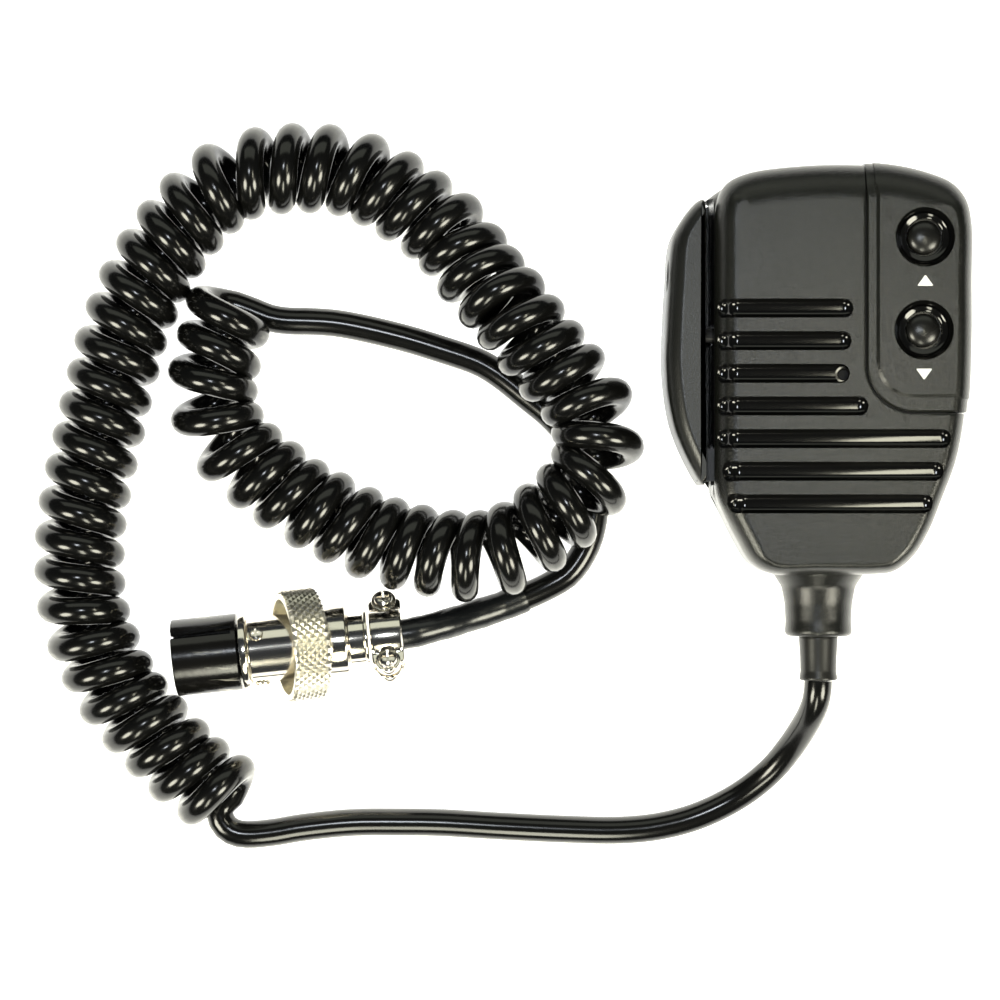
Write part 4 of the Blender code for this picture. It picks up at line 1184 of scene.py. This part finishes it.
class MIC_OT_cord(Operator):
    """Add the cord, its curl, the heat-shrink sleeve and the strain relief"""

    bl_idname = "mic.cord"
    bl_label = "Curly Cord"

    def execute(self, context):
        settings = context.scene.mic_cord
        curl = self.helix(settings.points_per_turn)
        route = even_path(smooth_path([*MIC_LEAD, curl[0], curl[1]], 10)[:-10], 1.3)
        route += curl[1:]
        tail = [*PLUG_LEAD, tuple(plug_point(CORD_ENTRY)), tuple(plug_point(33.9))]
        route += even_path(smooth_path([route[-1], *tail], 10), 1.6)[1:]
        length = sum((b - a).length for a, b in zip(route, route[1:])) / 1000
        data = bpy.data.curves.new("curly_cord", "CURVE")
        data.dimensions = "3D"
        data.bevel_depth = settings.diameter / 2
        data.bevel_resolution = 6
        data.use_fill_caps = True
        spline = data.splines.new("POLY")
        spline.points.add(len(route) - 1)
        for slot, point in zip(spline.points, route):
            slot.co = (*(point * 0.001), 1)
        spline.use_smooth = True
        cord = bpy.data.objects.new("curly_cord", data)
        context.scene.collection.objects.link(cord)
        finish_piece(cord, "case", (cord_vinyl(),),
                     ("cord_mic_lead", "cord_coil", "cord_plug_lead"))
        context.scene["cord_length"] = length
        self.add_sleeve()
        self.add_strain_relief()
        return {"FINISHED"}

    def helix(self, points_per_turn):
        """The curl: turns about the coil's centreline, wider apart where it bends so the inner side
        still has room for the cord."""
        spacing = 0.25
        line = even_path(smooth_path(COIL, 10), spacing)
        last = len(line) - 1
        tangents = [(line[min(k + 6, last)] - line[max(k - 6, 0)]).normalized() for k in range(last + 1)]
        rate = [0.0]
        for k in range(1, len(line)):
            bend = (tangents[min(k + 24, last)] - tangents[max(k - 24, 0)]).length / (spacing * 48)
            pitch = max(5.5, 2.02 * CORD_R / max(1 - HELIX_R * bend, 0.72))
            rate.append(rate[-1] + (line[k] - line[k - 1]).length / pitch)
        made, at = [], 0
        total = HELIX_TURNS * points_per_turn
        for k in range(total + 1):
            wanted = rate[-1] * k / total
            while at < len(rate) - 2 and rate[at + 1] < wanted:
                at += 1
            share = min((wanted - rate[at]) / max(rate[at + 1] - rate[at], 1e-9), 1)
            centre = line[at].lerp(line[at + 1], share)
            tangent = tangents[at].lerp(tangents[at + 1], share).normalized()
            side = tangent.cross(Vector((0, 0, 1))).normalized()
            up = side.cross(tangent)
            angle = 2 * math.pi * k / points_per_turn - math.pi / 2
            made.append(centre + (side * math.cos(angle) + up * math.sin(angle)) * HELIX_R)
        return made

    def add_sleeve(self):
        """The slightly uneven sleeve over the cord's last stretch."""
        points = [*PLUG_LEAD[SLEEVE_FROM:], tuple(plug_point(CORD_ENTRY)), tuple(plug_point(34.2))]
        line = even_path(smooth_path(points, 10), 0.9)
        rings = []
        for k, at in enumerate(line):
            along = (line[min(k + 1, len(line) - 1)] - line[max(k - 1, 0)]).normalized()
            turn = along.to_track_quat("Z", "Y").to_matrix()
            swell = 2.62 + 0.05 * math.sin(k * 0.9) + 0.03 * math.sin(k * 2.3)
            rings.append([at + turn @ Vector((swell * math.cos(a), swell * math.sin(a), 0))
                          for a in (2 * math.pi * j / 40 for j in range(40))])
        sleeve = loft("shrink_sleeve", rings)
        shade(sleeve, 50)
        finish_piece(sleeve, "case", (shrink_sleeve_plastic(),), ("heat_shrink_sleeve",))

    def add_strain_relief(self):
        """The rubber sleeve that holds the cord in the case's collar."""
        profile = rounded(((0, 36.5), (3.25, 36.5), (3.25, 37.8), (4.6, 37.8), (4.6, 40.2), (3.25, 40.2),
                           (3.25, 45.1), (3.32, 45.3), (3.12, 48.5), (3.05, 51.0), (3.25, 52.2), (3.1, 52.5),
                           (0, 52.5)), 0.25)
        relief = turned("cord_grommet", profile, axis_matrix((0, 0, NECK_Z), (0, -1, 0)), 64)
        shade(relief, 40)
        finish_piece(relief, "case", (relief_rubber(),), ("strain_relief",))


class MIC_OT_plug(Operator):
    """Add the plug's insert, barrels and gland neck"""

    bl_idname = "mic.plug"
    bl_label = "Plug Body"

    def execute(self, context):
        matrix = plug_matrix()
        insert_profile = rounded(((0, 0.5), (5.6, 0.5), (5.75, 0), (6.6, 0), (6.6, 11.2), (4.6, 11.2),
                                  (4.6, 23.5), (0, 23.5)), 0.25)
        insert = turned("insert_body", insert_profile, matrix, 96)
        _, forward = plug_axis()
        for width, depth in ((2.0, 0.8), (0.5, 1.1)):
            key = block((-0.5, -width / 2, 6.6 - depth), (10.4, width / 2, 9))
            lay_along_plug(key, KEY_SLOT_TURN)
            combine(insert, key, "DIFFERENCE")
        for k in range(CONTACTS):
            hole = turned("hole", ((0, 0), (1.2, 0), (1.2, 9.3), (0, 9.3)),
                          axis_matrix(contact_point(k, -1), forward), 24)
            combine(insert, hole, "DIFFERENCE")
        shade(insert, 30, weighted=True)
        finish_piece(insert, "case", (insert_plastic(),), ("plug_insert",))

        barrel_profile = rounded(((7.0, 11.6), (7.0, 12.7), (6.5, 13.1), (5.6, 13.1), (5.6, 25.3),
                                  (4.95, 25.3), (4.95, 11.6)), 0.18, closed=True)
        barrel = turned("front_barrel", barrel_profile, matrix, 96)
        shade(barrel, 30)
        finish_piece(barrel, "case", (nickel(),), ("plug_front_barrel",))

        rear_profile = rounded(((6.2, 25.6), (6.2, 29.8), (5.9, 30.0), (4.0, 30.0), (4.0, 25.6)), 0.22,
                               closed=True)
        rear = turned("rear_barrel", rear_profile, matrix, 96)
        shade(rear, 30)
        finish_piece(rear, "case", (nickel(),), ("plug_rear_barrel",))

        neck_profile = rounded(((0, 29.0), (4.5, 29.0), (4.5, 30.1), (4.65, 30.3), (4.65, 32.9),
                                (4.9, 33.0), (4.9, 33.45), (0, 33.45)), 0.12)
        neck = turned("gland_collar", neck_profile, matrix, 96)
        for side in (1, -1):
            flat = block((30.4, 4.1 * side, -6), (32.7, 7 * side, 6))
            lay_along_plug(flat)
            combine(neck, flat, "DIFFERENCE")
        shade(neck, 30)
        finish_piece(neck, "case", (nickel(),), ("gland_neck",))

        pin = turned("contact", rounded(((0, 0.6), (0.6, 0.6), (0.95, 1.0), (0.95, 8.0), (0, 8.0)), 0.12),
                     None, 24)
        shade(pin, 30)
        places = [(axis_matrix(contact_point(k, 0), forward), (1, 1, 1)) for k in range(CONTACTS)]
        contacts = copies("contact_set", places, pin, contact_silver())
        finish_piece(contacts, "case", (contact_silver(),),
                     [f"plug_contact_{k + 1}" for k in range(CONTACTS)])
        return {"FINISHED"}


class MIC_OT_ring(Operator):
    """Add the loose knurled coupling ring"""

    bl_idname = "mic.ring"
    bl_label = "Coupling Ring"

    def execute(self, context):
        settings = context.scene.mic_plug
        spin = joint("coupling_ring_spin")
        matrix = axis_matrix(Vector(spin["pos_m"]) * 1000, Vector(spin["axis"]))
        profile = rounded(((8.2, -3.1), (9.0, -3.1), (9.2, -2.8), (9.2, 2.8), (9.0, 3.1), (7.0, 3.1),
                           (7.0, 2.2), (8.2, 2.0)), 0.15, closed=True)
        ring = turned("knurled_ring", profile, matrix, 96)
        shade(ring, 30)
        seed = bpy.data.meshes.new("knurl")
        knurl = bpy.data.objects.new("ring_knurl", seed)
        context.scene.collection.objects.link(knurl)
        step = knurl.modifiers.new("Knurl", "NODES")
        step.node_group = knurl_tree()
        set_inputs(step, Columns=settings.knurl_columns, Rows=settings.knurl_rows, Radius=0.00930,
                   Width=0.0050, Height=0.00042, Material=knurl_nickel())
        bake(knurl)
        placed = matrix.copy()
        placed.translation = matrix.translation * 0.001
        knurl.data.transform(placed)
        finish_piece(knurl, "coupling_ring", (knurl_nickel(),))
        finish_piece(ring, "coupling_ring", (knurl_nickel(),), ("coupling_ring",))
        return {"FINISHED"}


class MIC_OT_clamp(Operator):
    """Add the two saddles of the cable clamp"""

    bl_idname = "mic.clamp"
    bl_label = "Cable Clamp"

    def execute(self, context):
        ear = ((-4.6, 0.35), (-6.4, 0.35), (-6.4, 1.7), (-4.5, 1.7))
        far = [(-x, z) for x, z in reversed(ear)]
        outer, inner = self.arc(4.6, range(150, 29, -10)), self.arc(2.75, range(8, 173, 12))
        section = rounded([*ear, *outer, *far, *inner], 0.25, 2, closed=True)
        ends = ((33.9, 0.93), (34.15, 0.99), (34.5, 1), (38.8, 1), (39.15, 0.99), (39.4, 0.93))
        for word, side in (("upper", 1), ("lower", -1)):
            rings = [[clamp_point(along, x * shrink, z * side * shrink) for x, z in section]
                     for along, shrink in ends]
            saddle = loft(f"{word}_saddle", rings)
            for across in (CLAMP_SCREW_SIDE, -CLAMP_SCREW_SIDE):
                base = clamp_point(CLAMP_AT, across, 0.35 * side)
                top = clamp_point(CLAMP_AT, across, 2.0 * side)
                pad = turned("pad", rounded(((0, 0), (2.15, 0), (2.15, 1.65), (0, 1.65)), 0.25),
                             axis_matrix(base, top - base), 40)
                combine(saddle, pad, "UNION")
            shade(saddle, 40)
            finish_piece(saddle, "case", (nickel(),), (f"clamp_saddle_{word}",))
        return {"FINISHED"}

    def arc(self, radius, angles):
        """The points of an arc, by their angles in degrees."""
        return [(radius * math.cos(math.radians(a)), radius * math.sin(math.radians(a))) for a in angles]


class MIC_OT_screws(Operator):
    """Add every visible cross-head screw"""

    bl_idname = "mic.screws"
    bl_label = "Screws"

    def execute(self, context):
        groups = {"insert_screws": [], "saddle_screws": [], "case_screws": []}
        axis = plug_point(INSERT_SCREWS_AT)
        for angle in (30, 150, 270):
            turn = math.radians(angle)
            out = plug_point(INSERT_SCREWS_AT, math.sin(turn), math.cos(turn)) - axis
            groups["insert_screws"].append((axis_matrix(axis + out * 5.62, out), (1.25, 1.25, 1.1)))
        for side in (CLAMP_SCREW_SIDE, -CLAMP_SCREW_SIDE):
            at, above = clamp_point(CLAMP_AT, side, 1.7), clamp_point(CLAMP_AT, side, 2.7)
            groups["saddle_screws"].append((axis_matrix(at, above - at), (1.7, 1.7, 2.4)))
        for k in range(4):
            x, y, _ = centre_mm(f"case_screw_{k + 1}")
            groups["case_screws"].append((axis_matrix((x, y, 7.7), (0, 0, -1)), (2.5, 2.5, 2.2)))
        nodes = {
            "insert_screws": [f"insert_screw_{k}" for k in (1, 2, 3)],
            "saddle_screws": ["saddle_screw_1", "saddle_screw_2"],
            "case_screws": [f"case_screw_{k}" for k in (1, 2, 3, 4)],
        }
        for name, places in groups.items():
            made = copies(name, places, cross_head("head"), screw_steel())
            finish_piece(made, "case", (screw_steel(),), nodes[name])
        return {"FINISHED"}


class MIC_OT_hang_button(Operator):
    """Add the hang button on the back"""

    bl_idname = "mic.hang_button"
    bl_label = "Hang Button"

    def execute(self, context):
        profile = rounded(((0, 0), (6.4, 0), (7.0, 0.5), (7.0, 1.5), (6.6, 1.9), (3.6, 2.0), (3.5, 2.4),
                           (3.5, 5.2), (0, 5.2)), 0.3)
        button = turned("hanger_stud", profile, None, 96)
        shade(button, 35)
        finish_piece(button, "case", (nickel(),), ("hang_button",))
        return {"FINISHED"}


class MIC_OT_inside(Operator):
    """Give the pieces inside the case their finishes"""

    bl_idname = "mic.inside"
    bl_label = "Inner Pieces"

    def execute(self, context):
        for name, obj in frame["nodes"].items():
            obj.data.materials.clear()
            obj.data.materials.append(inner_finish(name))
        return {"FINISHED"}


class MIC_OT_declare_cord(Operator):
    bl_idname = "mic.declare_cord"
    bl_label = "Declare Cord"

    def execute(self, context):
        return {"FINISHED"}


class MIC_PT_pieces(Panel):
    """Lists the microphone's pieces and their settings"""

    bl_idname = "MIC_PT_pieces"
    bl_label = "Hand Microphone"
    bl_space_type = "VIEW_3D"
    bl_region_type = "UI"
    bl_category = "Microphone"

    def draw(self, context):
        scene = context.scene
        for settings in (scene.mic_case, scene.mic_cord, scene.mic_plug, scene.mic_stage):
            box = self.layout.box()
            for name in settings.__annotations__:
                box.prop(settings, name)
        for operator in PIECES:
            self.layout.operator(operator.bl_idname)


SETTINGS = (MicCaseSettings, MicCordSettings, MicPlugSettings, MicStageSettings)
PIECES = (MIC_OT_stage, MIC_OT_cord, MIC_OT_inside, MIC_OT_front_shell, MIC_OT_back_shell,
          MIC_OT_switch_panel, MIC_OT_talk_bar, MIC_OT_buttons, MIC_OT_plug, MIC_OT_ring, MIC_OT_clamp,
          MIC_OT_screws, MIC_OT_hang_button, MIC_OT_declare_cord)


def register():
    for item in (*SETTINGS, *PIECES, MIC_PT_pieces):
        bpy.utils.register_class(item)
    bpy.types.Scene.mic_case = PointerProperty(type=MicCaseSettings)
    bpy.types.Scene.mic_cord = PointerProperty(type=MicCordSettings)
    bpy.types.Scene.mic_plug = PointerProperty(type=MicPlugSettings)
    bpy.types.Scene.mic_stage = PointerProperty(type=MicStageSettings)


def unregister():
    for name in ("mic_case", "mic_cord", "mic_plug", "mic_stage"):
        delattr(bpy.types.Scene, name)
    for item in reversed((*SETTINGS, *PIECES, MIC_PT_pieces)):
        bpy.utils.unregister_class(item)


def main():
    register()
    for operator in PIECES:
        group, name = operator.bl_idname.split(".")
        getattr(getattr(bpy.ops, group), name)()


if __name__ == "__main__":
    main()
